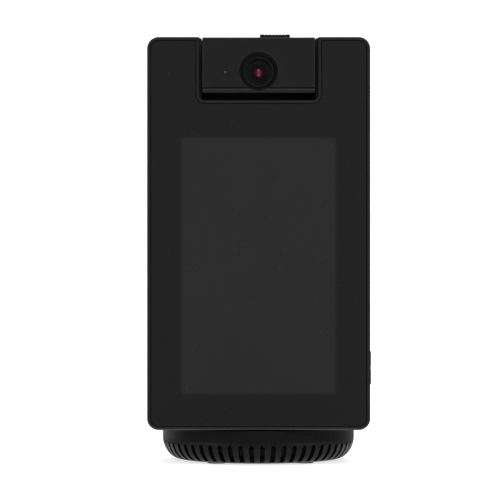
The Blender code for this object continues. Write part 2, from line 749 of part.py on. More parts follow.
def make_glass_and_screen():
    slab("front_glass", [face_outline(GLASS_INSET)], FACE_Y, FACE_Y + GLASS_THICK, GLOSS)
    half = SCREEN_WIDTH / 2 + PANEL_EDGE
    low, high = SCREEN_LOW - PANEL_TAIL, SCREEN_HIGH + PANEL_TAIL
    panel_front = FRONT_WALL_BACK_Y + GAP
    panel_back = panel_front + PANEL_THICK
    box("lcd_panel", (-half, panel_front, low), (half, panel_back, high), SCREEN)
    rim = 0.0005
    frame_front = panel_back + GAP
    frame_back = frame_front + FRAME_THICK
    box("lcd_back_frame", (-half - rim, frame_front, low - rim), (half + rim, frame_back, high + rim), STEEL)


def make_rear_shell():
    shell = rear_solid("rear_shell", REAR_START_Y)
    inside = rear_solid("cut_rear_inside", SEAM_Y - PAST, WALL)
    hole_low, hole_high = (0, 0, BODY_LOW - PAST), (0, 0, BODY_LOW + WALL + PAST)
    spindle_hole = rod("cut_spindle", hole_low, hole_high, SPINDLE_HOLE, BLACK, 24)
    cut(shell, inside, spindle_hole, bay_cutter("cut_bay_rear"))
    half = GRILLE_SLOT[0] / 2
    for i in range(GRILLE_SLOTS):
        z = GRILLE_LOW + i * GRILLE_PITCH
        corners = (-half, BACK_Y / 2, z), (half, BACK_Y + PAST, z + GRILLE_SLOT[1])
        cut(shell, box(f"cut_grille_{i}", *corners))
    envelope = rear_solid("cut_envelope", REAR_START_Y, WALL / 2)
    for x, z, name in tower_places():
        start, end, far = (x, SEAM_Y + GAP, z), (x, SCREW_SEAT_Y, z), (x, BACK_Y + PAST, z)
        tower = rod("cut_tower_" + name, start, far, TOWER_RADIUS, BLACK, 12)
        combine(tower, "INTERSECT", envelope)
        well = rod("cut_well_" + name, end, far, WELL_RADIUS, BLACK, 12)
        before = (x, SEAM_Y - PAST, z)
        hole = rod("cut_through_" + name, before, (x, SCREW_SEAT_Y + PAST, z), PILOT_RADIUS, BLACK, 12)
        cut(join(shell, tower), well, hole)
        head_length = 0.0020
        head, tip = (x, SCREW_SEAT_Y + GAP + head_length, z), (x, SCREW_TIP_Y, z)
        screw("rear_screw_" + name, head, tip, SCREW_HEAD_RADIUS, head_length, PILOT_RADIUS - GAP)
    return shell


def make_camera_bay():
    half = BAY_HALF + BAY_CHEEK
    outer = bay_outline(BAY_WALL, BAY_FRONT_Y, BODY_HIGH)
    bay = slab("camera_bay", [outer], -half, half, axis="X")
    inner = bay_outline(0.0, BAY_FRONT_Y - PAST, BODY_HIGH + PAST)
    cut(bay, slab("cut_bay_inside", [inner], -BAY_CLOSE_HALF, BAY_CLOSE_HALF, axis="X"))
    mouth = bay_mouth_outline(BAY_FRONT_Y - PAST, BODY_HIGH + PAST)
    cut(bay, slab("cut_bay_mouth", [mouth], -BAY_HALF, BAY_HALF, axis="X"))
    left, right = (-SHAFT_END, TILT_Y, TILT_Z), (SHAFT_END, TILT_Y, TILT_Z)
    cut(bay, rod("cut_bush_holes", left, right, BUSH_RADIUS + GAP))
    axis_point = (0, TILT_Y, TILT_Z)
    for word, low in (("left", -BUSH_INNER_END - BUSH_LENGTH), ("right", BUSH_INNER_END)):
        name, high = "tilt_bush_" + word, low + BUSH_LENGTH
        ring(name, SHAFT_RADIUS + GAP, BUSH_RADIUS, low, high, ACETAL, 16, "X", axis_point)
    return bay


def make_tilt_motor():
    """A small gearmotor: a round can with a square gearbox on its end."""
    start, end = (TILT_MOTOR_X, TILT_Y, TILT_Z), (TILT_MOTOR_END, TILT_Y, TILT_Z)
    motor = rod("tilt_motor", start, end, TILT_MOTOR_RADIUS, STEEL, 20)
    half = TILT_GEARBOX_HALF
    gearbox = box(
        "cut_tilt_gearbox",
        (TILT_GEARBOX_X, TILT_Y - half, TILT_Z - half),
        (TILT_MOTOR_X + PAST, TILT_Y + half, TILT_Z + half),
    )
    return join(motor, gearbox)


def make_pan_motor():
    motor = rod("pan_motor", (0, 0, PAN_MOTOR_LOW), (0, 0, PAN_MOTOR_HIGH), PAN_MOTOR_RADIUS, STEEL, 24)
    half = PAN_GEARBOX_HALF
    join(motor, box("cut_pan_gearbox", (-half, -half, PAN_GEARBOX_LOW), (half, half, PAN_MOTOR_LOW + PAST)))
    bracket = ring("pan_motor_bracket", 0.0050, BRACKET_RADIUS, BRACKET_LOW, BRACKET_HIGH, STEEL, 24)
    leg_radius = 0.0022
    for i, angle in enumerate(BRACKET_ANGLES, 1):
        foot = polar(BRACKET_LEG_RING, math.radians(angle), BODY_LOW + WALL + 0.0005)
        head = polar(BRACKET_LEG_RING, math.radians(angle), (BRACKET_LOW + BRACKET_HIGH) / 2)
        join(bracket, rod(f"cut_bracket_leg_{i}", foot, head, leg_radius, STEEL, 8))


def make_electronics():
    box("main_board", *MAIN_BOARD, BOARD)
    box("heat_spreader", *HEAT_SPREADER, STEEL)
    box("wifi_antenna", *ANTENNA, BOARD)
    box("key_switch_board", *KEY_SWITCH_BOARD, BOARD)


def make_speaker():
    edge = 0.0020
    box("speaker_box", *SPEAKER_BOX, BLACK, edge)
    coil, cone_floor, rim = 0.0012, 0.0110, 0.0030
    cone = [
        (SPEAKER_RADIUS, SPEAKER_DEPTH),
        (SPEAKER_RADIUS, rim),
        (cone_floor, 0.0),
        (coil, 0.0),
        (coil, 0.0020),
        (0.0060, 0.0020),
        (SPEAKER_RADIUS - edge, SPEAKER_DEPTH),
    ]
    turned("speaker_driver", cone, STEEL, 24, "Y", (0, SPEAKER_BOX[1][1] + GAP, SPEAKER_Z))


def make_side_key():
    half_y, half_z = KEY_DEPTH / 2, KEY_HEIGHT / 2
    inner_x, outer_x = KEY_INNER_X, BODY_WIDTH / 2 + KEY_PROUD
    low, high = (inner_x, KEY_Y - half_y, KEY_Z - half_z), (outer_x, KEY_Y + half_y, KEY_Z + half_z)
    key = box("side_key", low, high)
    half_y, half_z = half_y + KEY_FLANGE, half_z + KEY_FLANGE
    flange = box(
        "cut_key_flange",
        (inner_x - KEY_FLANGE, KEY_Y - half_y, KEY_Z - half_z),
        (inner_x + KEY_FLANGE / 2, KEY_Y + half_y, KEY_Z + half_z),
    )
    return join(key, flange)


# ------------------------------------------------------------------ camera head


def head_prism(name, half, grow=0.0, front_y=FACE_Y):
    return slab(name, [head_outline(front_y, grow)], -half, half, axis="X")


def make_camera_head():
    low, high = HEAD_LOW - PAST, HEAD_HIGH + PAST
    behind = rectangle((HEAD_SEAM_Y, low), (TILT_Y + HEAD_RADIUS + PAST, high))
    ahead = rectangle((FACE_Y - PAST, low), (HEAD_SEAM_Y + GAP, high))
    cut_half = HEAD_HALF + PAST
    inner_half = HEAD_HALF - HEAD_WALL
    wall_back = FACE_Y + HEAD_FACE_WALL

    front = head_prism("camera_front_shell", HEAD_HALF)
    hollow = head_prism("cut_head_inside", inner_half, -HEAD_WALL, wall_back)
    rear_half = slab("cut_head_behind", [behind], -cut_half, cut_half, axis="X")
    recess_ends = (0, FACE_Y - GAP, LENS_Z), (0, wall_back + GAP, LENS_Z)
    recess = rod("cut_lens_recess", *recess_ends, LENS_RECESS_OUTER, BLACK, 32, LENS_RECESS_INNER)
    light_ends = (LIGHT_X, FACE_Y - PAST, LIGHT_Z), (LIGHT_X, wall_back + PAST, LIGHT_Z)
    light_hole = rod("cut_light", *light_ends, LIGHT_RADIUS + GAP, BLACK, 12)
    slot_half = (SHUTTER_TRAVEL + STEM_WIDTH) / 2 + PAST
    slot_deep = STEM_DEPTH / 2 + GAP
    slot = box(
        "cut_shutter_slot",
        (-slot_half, KNOB_Y - slot_deep, HEAD_HIGH - 2 * HEAD_WALL),
        (slot_half, KNOB_Y + slot_deep, HEAD_HIGH + PAST),
    )
    cut(front, hollow, rear_half, recess, light_hole, slot)

    rear = head_prism("camera_rear_shell", HEAD_HALF)
    front_half = slab("cut_head_ahead", [ahead], -cut_half, cut_half, axis="X")
    left, right = (-cut_half, TILT_Y, TILT_Z), (cut_half, TILT_Y, TILT_Z)
    shaft_holes = rod("cut_shaft_holes", left, right, SHAFT_RADIUS + GAP, BLACK, 12)
    cut(rear, hollow, front_half, shaft_holes)


def make_camera_optics():
    ring_deep = 0.0015
    step = 0.0002
    profile = [
        (LENS_RING_RADIUS, ring_deep),
        (LENS_RING_RADIUS, 0.0),
        (LENS_RADIUS + 3.5 * step, 0.0),
        (LENS_RADIUS + 2.5 * step, 3 * step),
        (LENS_RADIUS + GAP, 4 * step),
        (LENS_RADIUS + GAP, ring_deep),
    ]
    turned("lens_bezel_ring", profile, BLACK, 24, "Y", (0, LENS_RING_Y, LENS_Z))
    front, back = (0, LENS_RING_Y, LENS_Z), (0, LENS_RING_Y + LENS_THICK, LENS_Z)
    rod("lens_glass", front, back, LENS_FRONT_RADIUS, GLASS, 20, LENS_RADIUS)
    board_front = SENSOR_BOARD[0][1] - GAP
    start, end = (0, LENS_RING_Y + ring_deep + GAP, LENS_Z), (0, board_front, LENS_Z)
    rod("lens_barrel", start, end, BARREL_RADIUS, BLACK, 20)
    box("sensor_board", *SENSOR_BOARD, BOARD)
    start, end = (LIGHT_X, FACE_Y + GAP / 3, LIGHT_Z), (LIGHT_X, HEAD_SEAM_Y - PAST, LIGHT_Z)
    rod("status_light_pipe", start, end, LIGHT_RADIUS, WHITE, 10)


def make_tilt_shafts():
    wall_inside = HEAD_HALF - HEAD_WALL - GAP
    flange_thick, flange_radius = 0.0015, 0.0050
    for name, side in (("tilt_pivot_pin", -1), ("tilt_drive_hub", 1)):
        start, end = (side * (wall_inside - flange_thick), TILT_Y, TILT_Z), (side * SHAFT_END, TILT_Y, TILT_Z)
        shaft = rod(name, start, end, SHAFT_RADIUS, STEEL, 12)
        seat = (side * wall_inside, TILT_Y, TILT_Z)
        shoulder = (side * (wall_inside - 0.8 * flange_thick), TILT_Y, TILT_Z)
        join(shaft, rod("cut_flange_" + name, shoulder, seat, flange_radius, STEEL, 12))


def make_shutter():
    half, stem_half, stem_deep = KNOB_WIDTH / 2, STEM_WIDTH / 2, STEM_DEPTH / 2
    top = HEAD_HIGH + KNOB_RISE
    knob = box(
        "shutter_knob",
        (KNOB_X - half, KNOB_Y - KNOB_DEPTH / 2, HEAD_HIGH + GAP),
        (KNOB_X + half, KNOB_Y + KNOB_DEPTH / 2, top),
    )
    arm_low, arm_high = HEAD_HIGH - HEAD_WALL - 0.0024, HEAD_HIGH - HEAD_WALL - 3 * GAP
    stem = box(
        "cut_stem",
        (KNOB_X - stem_half, KNOB_Y - stem_deep, arm_high - GAP),
        (KNOB_X + stem_half, KNOB_Y + stem_deep, top - GAP),
    )
    blade_back = BLADE_Y + BLADE_THICK / 2
    arm = box(
        "cut_arm",
        (KNOB_X - stem_half, blade_back + GAP, arm_low),
        (KNOB_X + stem_half, KNOB_Y + stem_deep, arm_high),
    )
    join(knob, stem, arm)
    box(
        "shutter_blade",
        (KNOB_X + GAP, BLADE_Y - BLADE_THICK / 2, HEAD_LOW + HEAD_WALL + GAP),
        (KNOB_X + GAP + BLADE_WIDTH, blade_back, HEAD_HIGH - HEAD_WALL - GAP),
    )


# ------------------------------------------------------------------ assembly


def attach(empty_name, centre, names, parent=None):
    """Parents the named pieces to an empty on their joint's axis, without moving them."""
    empty = bpy.data.objects.new(empty_name, None)
    empty.location = centre
    model.objects.link(empty)
    if parent:
        empty.parent = parent
        empty.matrix_parent_inverse = Matrix.Translation(-Vector(parent.location))
    for name in names:
        piece = bpy.data.objects[name]
        piece.parent = empty
        piece.matrix_parent_inverse = Matrix.Translation(-Vector(centre))
    return empty


DISPLAY_PIECES = [
    "front_housing",
    "front_glass",
    "lcd_panel",
    "lcd_back_frame",
    "rear_shell",
    "camera_bay",
    "tilt_bush_left",
    "tilt_bush_right",
    "tilt_motor",
    "pan_motor",
    "pan_motor_bracket",
    "main_board",
    "heat_spreader",
    "wifi_antenna",
    "key_switch_board",
    "speaker_box",
    "speaker_driver",
] + ["rear_screw_" + name for _, _, name in tower_places()]

HEAD_PIECES = [
    "camera_front_shell",
    "camera_rear_shell",
    "lens_bezel_ring",
    "lens_glass",
    "lens_barrel",
    "sensor_board",
    "status_light_pipe",
    "tilt_pivot_pin",
    "tilt_drive_hub",
]

make_base_shell()
make_base_bottom()
make_power_inlet()
make_pan_drive()
make_front_housing()
make_glass_and_screen()
make_rear_shell()
make_camera_bay()
make_tilt_motor()
make_pan_motor()
make_electronics()
make_speaker()
make_side_key()
make_camera_head()
make_camera_optics()
make_tilt_shafts()
make_shutter()

pan_axis = attach("pan_axis", (0, 0, 0), DISPLAY_PIECES)
tilt_axis = attach("tilt_axis", (0, TILT_Y, TILT_Z), HEAD_PIECES, pan_axis)
attach("shutter_slide", (KNOB_X, KNOB_Y, HEAD_HIGH), ["shutter_knob", "shutter_blade"], tilt_axis)
attach("key_hinge", (KEY_HINGE_X, KEY_Y, KEY_Z), ["side_key"], pan_axis)
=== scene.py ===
"""The looks of the smart display: fine surfaces, materials, stage, light and camera."""

import math

import bmesh
import bpy
from mathutils import Matrix, Vector


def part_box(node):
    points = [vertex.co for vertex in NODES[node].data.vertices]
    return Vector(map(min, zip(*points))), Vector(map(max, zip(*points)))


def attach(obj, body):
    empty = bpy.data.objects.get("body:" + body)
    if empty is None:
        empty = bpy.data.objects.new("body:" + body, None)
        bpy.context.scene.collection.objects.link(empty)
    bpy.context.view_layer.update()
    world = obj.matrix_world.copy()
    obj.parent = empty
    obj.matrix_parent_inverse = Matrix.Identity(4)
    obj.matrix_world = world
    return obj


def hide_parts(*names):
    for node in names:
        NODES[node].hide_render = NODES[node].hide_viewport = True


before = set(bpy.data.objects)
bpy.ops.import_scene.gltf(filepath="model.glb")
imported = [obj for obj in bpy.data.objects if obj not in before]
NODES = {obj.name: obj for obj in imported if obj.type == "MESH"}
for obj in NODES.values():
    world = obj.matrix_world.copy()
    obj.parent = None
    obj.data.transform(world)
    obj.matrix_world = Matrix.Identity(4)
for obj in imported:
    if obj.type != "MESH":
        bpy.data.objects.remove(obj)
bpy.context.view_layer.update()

# ------------------------------------------------------------------ sizes read from the frame

HOUSING_LOW, HOUSING_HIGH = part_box("front_housing")
FACE_Y = HOUSING_LOW.y
SEAM_Y = HOUSING_HIGH.y
BODY_HALF = HOUSING_HIGH.x
BODY_LOW = HOUSING_LOW.z
BODY_HIGH = HOUSING_HIGH.z
GLASS_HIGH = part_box("front_glass")[1]
GLASS_INSET = BODY_HALF - GLASS_HIGH.x
HEAD_LOW, HEAD_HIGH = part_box("camera_front_shell")
HEAD_BACK_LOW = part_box("camera_rear_shell")[0]
REAR_LOW, REAR_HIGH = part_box("rear_shell")
BAY_LOW, BAY_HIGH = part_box("camera_bay")
BASE_LOW, BASE_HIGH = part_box("base_shell")
BASE_RADIUS = BASE_HIGH.x
LENS_LOW, LENS_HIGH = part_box("lens_bezel_ring")
LENS_Z = (LENS_LOW.z + LENS_HIGH.z) / 2

# ------------------------------------------------------------------ sizes of the design, in metres

BODY_CORNER = 0.0048
EDGE_ROUND = 0.0011
NOTCH_HALF = 0.02445
NOTCH_FLOOR = 0.1512
NOTCH_CORNER = 0.0022
NOTCH_LIP = 0.0024
BAY_SIDE_ROOM = 0.0022  # how much wider the notch is behind its lip, for the bay's cheeks
BAY_FLOOR_ROOM = 0.0063  # and how much deeper
EAR_CORNER = 0.0008
GLASS_SEAT_DEPTH = 0.0014
KEY_FLANGE = 0.0008
GAP = 0.0003  # between two pieces that don't touch
PAST = 0.002  # how far a cutter runs past what it cuts

SCREEN_HALF = 0.03245
SCREEN_LOW = 0.0292
SCREEN_HIGH = 0.1362

TILT_Y = -0.0270
TILT_Z = 0.1657
HEAD_RADIUS = (HEAD_HIGH.z - HEAD_LOW.z) / 2
HEAD_HALF = HEAD_HIGH.x
HEAD_WALL = 0.0016
HEAD_FACE_WALL = 0.0020
HEAD_LOW_ROUND = 0.0022
HEAD_TOP_ROUND = 0.0008
HEAD_SEAM_Y = HEAD_HIGH.y
HEAD_GROOVE_Z = 0.15615  # the line under the face plate, where the head's lower edge begins to round
LENS_OUTER = 0.0080
LENS_INNER = 0.0066
RECESS_LIP = 0.00025
RECESS_TAPER = 0.0004
RECESS_WALL = 0.0012  # how deep the recess's steep outer wall goes
GROOVE_HALF = 0.0003
GROOVE_DEPTH = 0.00045
HEAD_CUT_HALF = 0.03
HEAD_CUT_FRONT = -0.06
HEAD_CUT_LOW, HEAD_CUT_HIGH = 0.14, 0.19  # cutters that divide the head run between these heights
LIGHT_X, LIGHT_Z = -0.0138, 0.1627
LIGHT_HOLE_RADIUS = 0.0007
SHUTTER_TRAVEL = 0.0135
KNOB_Y = -0.0330
KNOB_DEPTH = 0.0056
STEM_WIDTH = 0.0040
STEM_DEPTH = 0.0016
KNOB_GROOVES = 7
KNOB_GROOVE_PITCH = 0.0014
KNOB_GROOVE_HALF = 0.00028
KNOB_GROOVE_DEPTH = 0.00022

TILT_DOWN = 30.0
BAY_WALL = 0.0016
BAY_CLOSE_HALF = HEAD_HALF + 0.0004
BAY_STEP_Y = -0.0330
SWEEP_RADIUS = 0.0186
BAY_RADIUS = 0.0122

BASE_TOP_ROUND = 0.0005
BASE_ROUND_OUT = 0.0080
BASE_ROUND_UP = 0.0095
BASE_WALL = 0.0020
BASE_DECK = 0.0014
BASE_HOLE = 0.0080
SPINDLE_HOLE = 0.0082
SLOT_COUNT = 56
SLOT_HALF = 0.0010
SLOT_HIGH = 0.0083
SLOT_LOW = 0.0012
SLOT_PHASE = math.radians(2.25)

BACK_TOP_Y = 0.0
BACK_BEND_LOW = 0.026
BACK_BEND_HIGH = 0.060
BACK_ROUND = 0.006
BACK_SQUARENESS = 2.6
SHELL_WALL = 0.0020
SEAM_ROUND = 0.0004
GRILLE_SLOTS = 8
GRILLE_LOW = 0.0545
GRILLE_PITCH = 0.0034
GRILLE_HALF = 0.0160
GRILLE_HEIGHT = 0.0014
TOWER_X = 0.0395
TOWER_HEIGHTS = (0.0300, 0.1500)
TOWER_RADIUS = 0.0038
WELL_RADIUS = 0.0027
PILOT_RADIUS = 0.0016
SCREW_SEAT_Y = -0.0200

# ------------------------------------------------------------------ values for the lens, stage and camera

# The lens's colours are painted reflections: a red reflection of the sensor in the middle, a green-blue
# reflection of the coating towards the edge.
PAINTED_PUPIL_REACH = 0.0056  # from the painted pupil's middle to the far edge of the glass
PAINTED_PUPIL_DROP = 0.0005
PAINTED_LENS_REFLECTIONS = [
    (0.00, (0.130, 0.030, 0.055)),
    (0.14, (0.085, 0.014, 0.030)),
    (0.26, (0.024, 0.001, 0.005)),
    (0.42, (0.012, 0.000, 0.002)),
    (0.54, (0.002, 0.001, 0.002)),
    (0.66, (0.002, 0.006, 0.005)),
    (0.84, (0.003, 0.008, 0.007)),
    (1.00, (0.002, 0.003, 0.003)),
]
# Two glints on the lens, painted highlights in its colour.
PAINTED_GLINT_RISES = (0.0005, -0.0015)
PAINTED_GLINT_RADIUS = 0.0008
PAINTED_GLINT_TINT = (0.20, 0.085, 0.115)

STAGE_HALF = 6.0
STAGE_TURN = 0.9  # the radius of the curve between the floor and the wall
STAGE_TOP = 3.2
PATCH_HALF = 0.058
TABLE_GLOW = 0.72
WORLD_GLOW = 0.18

CAMERA_PLACE = (-0.00358, -1.191, 0.0893)
CAMERA_FOCAL = 200.7
CAMERA_SENSOR = 36.0

# ------------------------------------------------------------------ node helpers


def new_material(name):
    material = bpy.data.materials.new(name)
    material.use_nodes = True
    return material, material.node_tree, material.node_tree.nodes["Principled BSDF"]


def link(tree, source, output, target, slot):
    tree.links.new(source.outputs[output], target.inputs[slot])


def noise(tree, scale, detail=3.0, roughness=0.5, stretch=None):
    """A noise texture in object space; scale is in cycles per metre."""
    place = tree.nodes.new("ShaderNodeTexCoord")
    texture = tree.nodes.new("ShaderNodeTexNoise")
    texture.inputs["Scale"].default_value = scale
    texture.inputs["Detail"].default_value = detail
    texture.inputs["Roughness"].default_value = roughness
    if stretch:
        mapping = tree.nodes.new("ShaderNodeMapping")
        mapping.inputs["Scale"].default_value = stretch
        link(tree, place, "Object", mapping, "Vector")
        link(tree, mapping, "Vector", texture, "Vector")
    else:
        link(tree, place, "Object", texture, "Vector")
    return texture


def spread(tree, texture, low, high):
    """Maps a texture's middle range to low..high."""
    ramp = tree.nodes.new("ShaderNodeMapRange")
    ramp.inputs["From Min"].default_value = 0.3
    ramp.inputs["From Max"].default_value = 0.7
    ramp.inputs["To Min"].default_value = low
    ramp.inputs["To Max"].default_value = high
    link(tree, texture, "Fac", ramp, "Value")
    return ramp


def bump(tree, shader, texture, distance, strength, after=None):
    """Raises the surface by a texture, on top of another bump where there is one."""
    node = tree.nodes.new("ShaderNodeBump")
    node.inputs["Strength"].default_value = strength
    node.inputs["Distance"].default_value = distance
    link(tree, texture, "Fac", node, "Height")
    if after:
        link(tree, after, "Normal", node, "Normal")
    link(tree, node, "Normal", shader, "Normal")
    return node


def tinted(tree, shader, texture, dark, light):
    """Base colour between two colours by a texture."""
    mix = tree.nodes.new("ShaderNodeMix")
    mix.data_type = "RGBA"
    mix.inputs["A"].default_value = (*dark, 1.0)
    mix.inputs["B"].default_value = (*light, 1.0)
    factor = spread(tree, texture, 0.0, 1.0)
    link(tree, factor, "Result", mix, "Factor")
    link(tree, mix, "Result", shader, "Base Color")


# ------------------------------------------------------------------ materials


def moulded_plastic(name, colour, roughness, level=0.3):
    """Spark-eroded moulding: a fine even grain under a broader waviness, with a drift in tone and gloss."""
    material, tree, shader = new_material(name)
    tinted(tree, shader, noise(tree, 60.0, 5.0, 0.6), [c * 0.9 for c in colour], [c * 1.1 for c in colour])
    sheen = noise(tree, 900.0, 4.0, 0.6)
    link(tree, spread(tree, sheen, roughness - 0.04, roughness + 0.04), "Result", shader, "Roughness")
    waves = bump(tree, shader, noise(tree, 420.0, 2.0), 0.00002, 0.12)
    bump(tree, shader, noise(tree, 5200.0, 3.0, 0.6), 0.000010, 0.5, after=waves)
    shader.inputs["Specular IOR Level"].default_value = level
    return material


def gloss_sheet(name, colour, roughness):
    """Printed cover glass: nearly smooth, with the faintest haze and a slight waviness."""
    material, tree, shader = new_material(name)
    tinted(tree, shader, noise(tree, 25.0, 3.0), [c * 0.98 for c in colour], [c * 1.02 for c in colour])
    haze = noise(tree, 140.0, 4.0)
    link(tree, spread(tree, haze, roughness * 0.85, roughness * 1.15), "Result", shader, "Roughness")
    bump(tree, shader, noise(tree, 90.0, 2.0), 0.000008, 0.05)
    shader.inputs["Specular IOR Level"].default_value = 0.3
    return material


def arithmetic(tree, operation, first, second=None):
    """A math node between node outputs, numbers or both."""
    node = tree.nodes.new("ShaderNodeMath")
    node.operation = operation
    for i, value in enumerate((first, second)):
        if value is None:
            continue
        if isinstance(value, (int, float)):
            node.inputs[i].default_value = value
        else:
            tree.links.new(value, node.inputs[i])
    return node.outputs["Value"]


def framed_sheet(name, border, lit, roughness, soft_edge):
    """The cover glass over the screen: the border's black passes softly into the grey of the dark screen."""
    material = gloss_sheet(name, lit, roughness)
    tree = material.node_tree
    shader = tree.nodes["Principled BSDF"]
    split = tree.nodes.new("ShaderNodeSeparateXYZ")
    link(tree, tree.nodes.new("ShaderNodeTexCoord"), "Object", split, "Vector")
    middle, half_height = (SCREEN_LOW + SCREEN_HIGH) / 2, (SCREEN_HIGH - SCREEN_LOW) / 2
    across = arithmetic(tree, "SUBTRACT", SCREEN_HALF, arithmetic(tree, "ABSOLUTE", split.outputs["X"]))
    height = arithmetic(tree, "ABSOLUTE", arithmetic(tree, "SUBTRACT", split.outputs["Z"], middle))
    along = arithmetic(tree, "SUBTRACT", half_height, height)
    ramp = tree.nodes.new("ShaderNodeMapRange")
    ramp.interpolation_type = "SMOOTHSTEP"
    ramp.inputs["From Max"].default_value = soft_edge
    tree.links.new(arithmetic(tree, "MINIMUM", across, along), ramp.inputs["Value"])
    mix = tree.nodes.new("ShaderNodeMix")
    mix.data_type = "RGBA"
    mix.inputs["A"].default_value = (*border, 1.0)
    tree.links.new(shader.inputs["Base Color"].links[0].from_socket, mix.inputs["B"])
    link(tree, ramp, "Result", mix, "Factor")
    link(tree, mix, "Result", shader, "Base Color")
    return material


def metal(name, colour, roughness, stretch=(1.0, 1.0, 1.0), scale=2400.0):
    """Plain or brushed metal: the scratches run where the stretch is smallest."""
    material, tree, shader = new_material(name)
    shader.inputs["Metallic"].default_value = 1.0
    texture = noise(tree, scale, 4.0, 0.6, stretch)
    tinted(tree, shader, texture, [c * 0.9 for c in colour], [min(c * 1.08, 1.0) for c in colour])
    link(tree, spread(tree, texture, roughness - 0.07, roughness + 0.07), "Result", shader, "Roughness")
    bump(tree, shader, texture, 0.000006, 0.4)
    return material


def circuit_board(name):
    """Solder mask over copper: darker lanes between lighter runs of track."""
    material, tree, shader = new_material(name)
    place = tree.nodes.new("ShaderNodeTexCoord")
    lanes = tree.nodes.new("ShaderNodeTexBrick")
    lanes.inputs["Scale"].default_value = 420.0
    lanes.inputs["Mortar Size"].default_value = 0.04
    lanes.inputs["Color1"].default_value = (0.012, 0.085, 0.04, 1.0)
    lanes.inputs["Color2"].default_value = (0.016, 0.105, 0.05, 1.0)
    lanes.inputs["Mortar"].default_value = (0.03, 0.17, 0.08, 1.0)
    turn = tree.nodes.new("ShaderNodeMapping")
    turn.inputs["Rotation"].default_value = (math.pi / 2, 0.0, 0.0)
    link(tree, place, "Object", turn, "Vector")
    link(tree, turn, "Vector", lanes, "Vector")
    link(tree, lanes, "Color", shader, "Base Color")
    shader.inputs["Roughness"].default_value = 0.38
    bump(tree, shader, lanes, 0.00003, 0.5)
    return material


def rubber(name):
    material, tree, shader = new_material(name)
    speckle = noise(tree, 2600.0, 5.0, 0.65)
    tinted(tree, shader, speckle, (0.014, 0.014, 0.014), (0.024, 0.024, 0.024))
    shader.inputs["Roughness"].default_value = 0.85
    bump(tree, shader, speckle, 0.00003, 0.7)
    return material


BODY_BLACK = moulded_plastic("body_black", (0.0150, 0.0150, 0.0153), 0.46)
HEAD_BLACK = moulded_plastic("head_black", (0.0195, 0.0195, 0.0198), 0.42)
BASE_BLACK = moulded_plastic("base_black", (0.0055, 0.0055, 0.0057), 0.30, 0.22)
RIB_BLACK = moulded_plastic("rib_black", (0.0055, 0.0055, 0.0057), 0.34, 0.11)
# The inside black is lighter than the outer blacks: painted light in the shaded gaps and hollows inside.
INNER_BLACK_PAINTED_LIGHT = moulded_plastic("inner_black_painted_light", (0.0400, 0.0400, 0.0406), 0.60, 0.2)
LENS_RING_BLACK = moulded_plastic("lens_ring_black", (0.0110, 0.0110, 0.0113), 0.36)
PRINT_COLOUR, SCREEN_COLOUR = (0.0110, 0.0110, 0.0112), (0.0192, 0.0192, 0.0196)
COVER_PRINT = gloss_sheet("cover_print", PRINT_COLOUR, 0.24)
SCREEN_DARK = framed_sheet("screen_dark", PRINT_COLOUR, SCREEN_COLOUR, 0.24, 0.0014)
PANEL_GREY = gloss_sheet("panel_grey", SCREEN_COLOUR, 0.30)
STEEL = metal("zinc_plated_steel", (0.55, 0.55, 0.57), 0.34)
BRUSHED = metal("brushed_steel", (0.52, 0.52, 0.54), 0.36, (1.0, 1.0, 0.03), 1800.0)
ALUMINIUM = metal("plain_aluminium", (0.78, 0.78, 0.80), 0.42, (0.04, 1.0, 1.0), 1800.0)
DARK_STEEL = metal("blackened_steel", (0.035, 0.035, 0.037), 0.45)
BOARD = circuit_board("solder_mask")
RUBBER = rubber("rubber_foot")
ACETAL = moulded_plastic("natural_acetal", (0.70, 0.70, 0.66), 0.48, 0.5)
# A lighter copy of the head's black for the lower lip: painted light, as if lit from below by the table.
HEAD_LIP_PAINTED_LIGHT = moulded_plastic("head_lip_painted_light", (0.0300, 0.0300, 0.0304), 0.36)
HEAD_PLATE = moulded_plastic("head_plate", (0.0112, 0.0112, 0.0114), 0.34)
# A darker black for the lens recess and the plate's groove: painted shade.
WELL_PAINTED_SHADE = moulded_plastic("well_painted_shade", (0.0070, 0.0070, 0.0071), 0.55, 0.15)
BLACK_ACETAL = moulded_plastic("black_acetal", (0.0120, 0.0120, 0.0123), 0.50)
PIPE = moulded_plastic("light_pipe", (0.075, 0.075, 0.077), 0.35)


def distance_from(tree, x, z):
    """How far a point of the face is from a spot on it, in metres."""
    split = tree.nodes.new("ShaderNodeSeparateXYZ")
    link(tree, tree.nodes.new("ShaderNodeTexCoord"), "Object", split, "Vector")
    across = arithmetic(tree, "SUBTRACT", split.outputs["X"], x)
    along = arithmetic(tree, "SUBTRACT", split.outputs["Z"], z)
    squares = [arithmetic(tree, "MULTIPLY", value, value) for value in (across, along)]
    return arithmetic(tree, "SQRT", arithmetic(tree, "ADD", *squares))


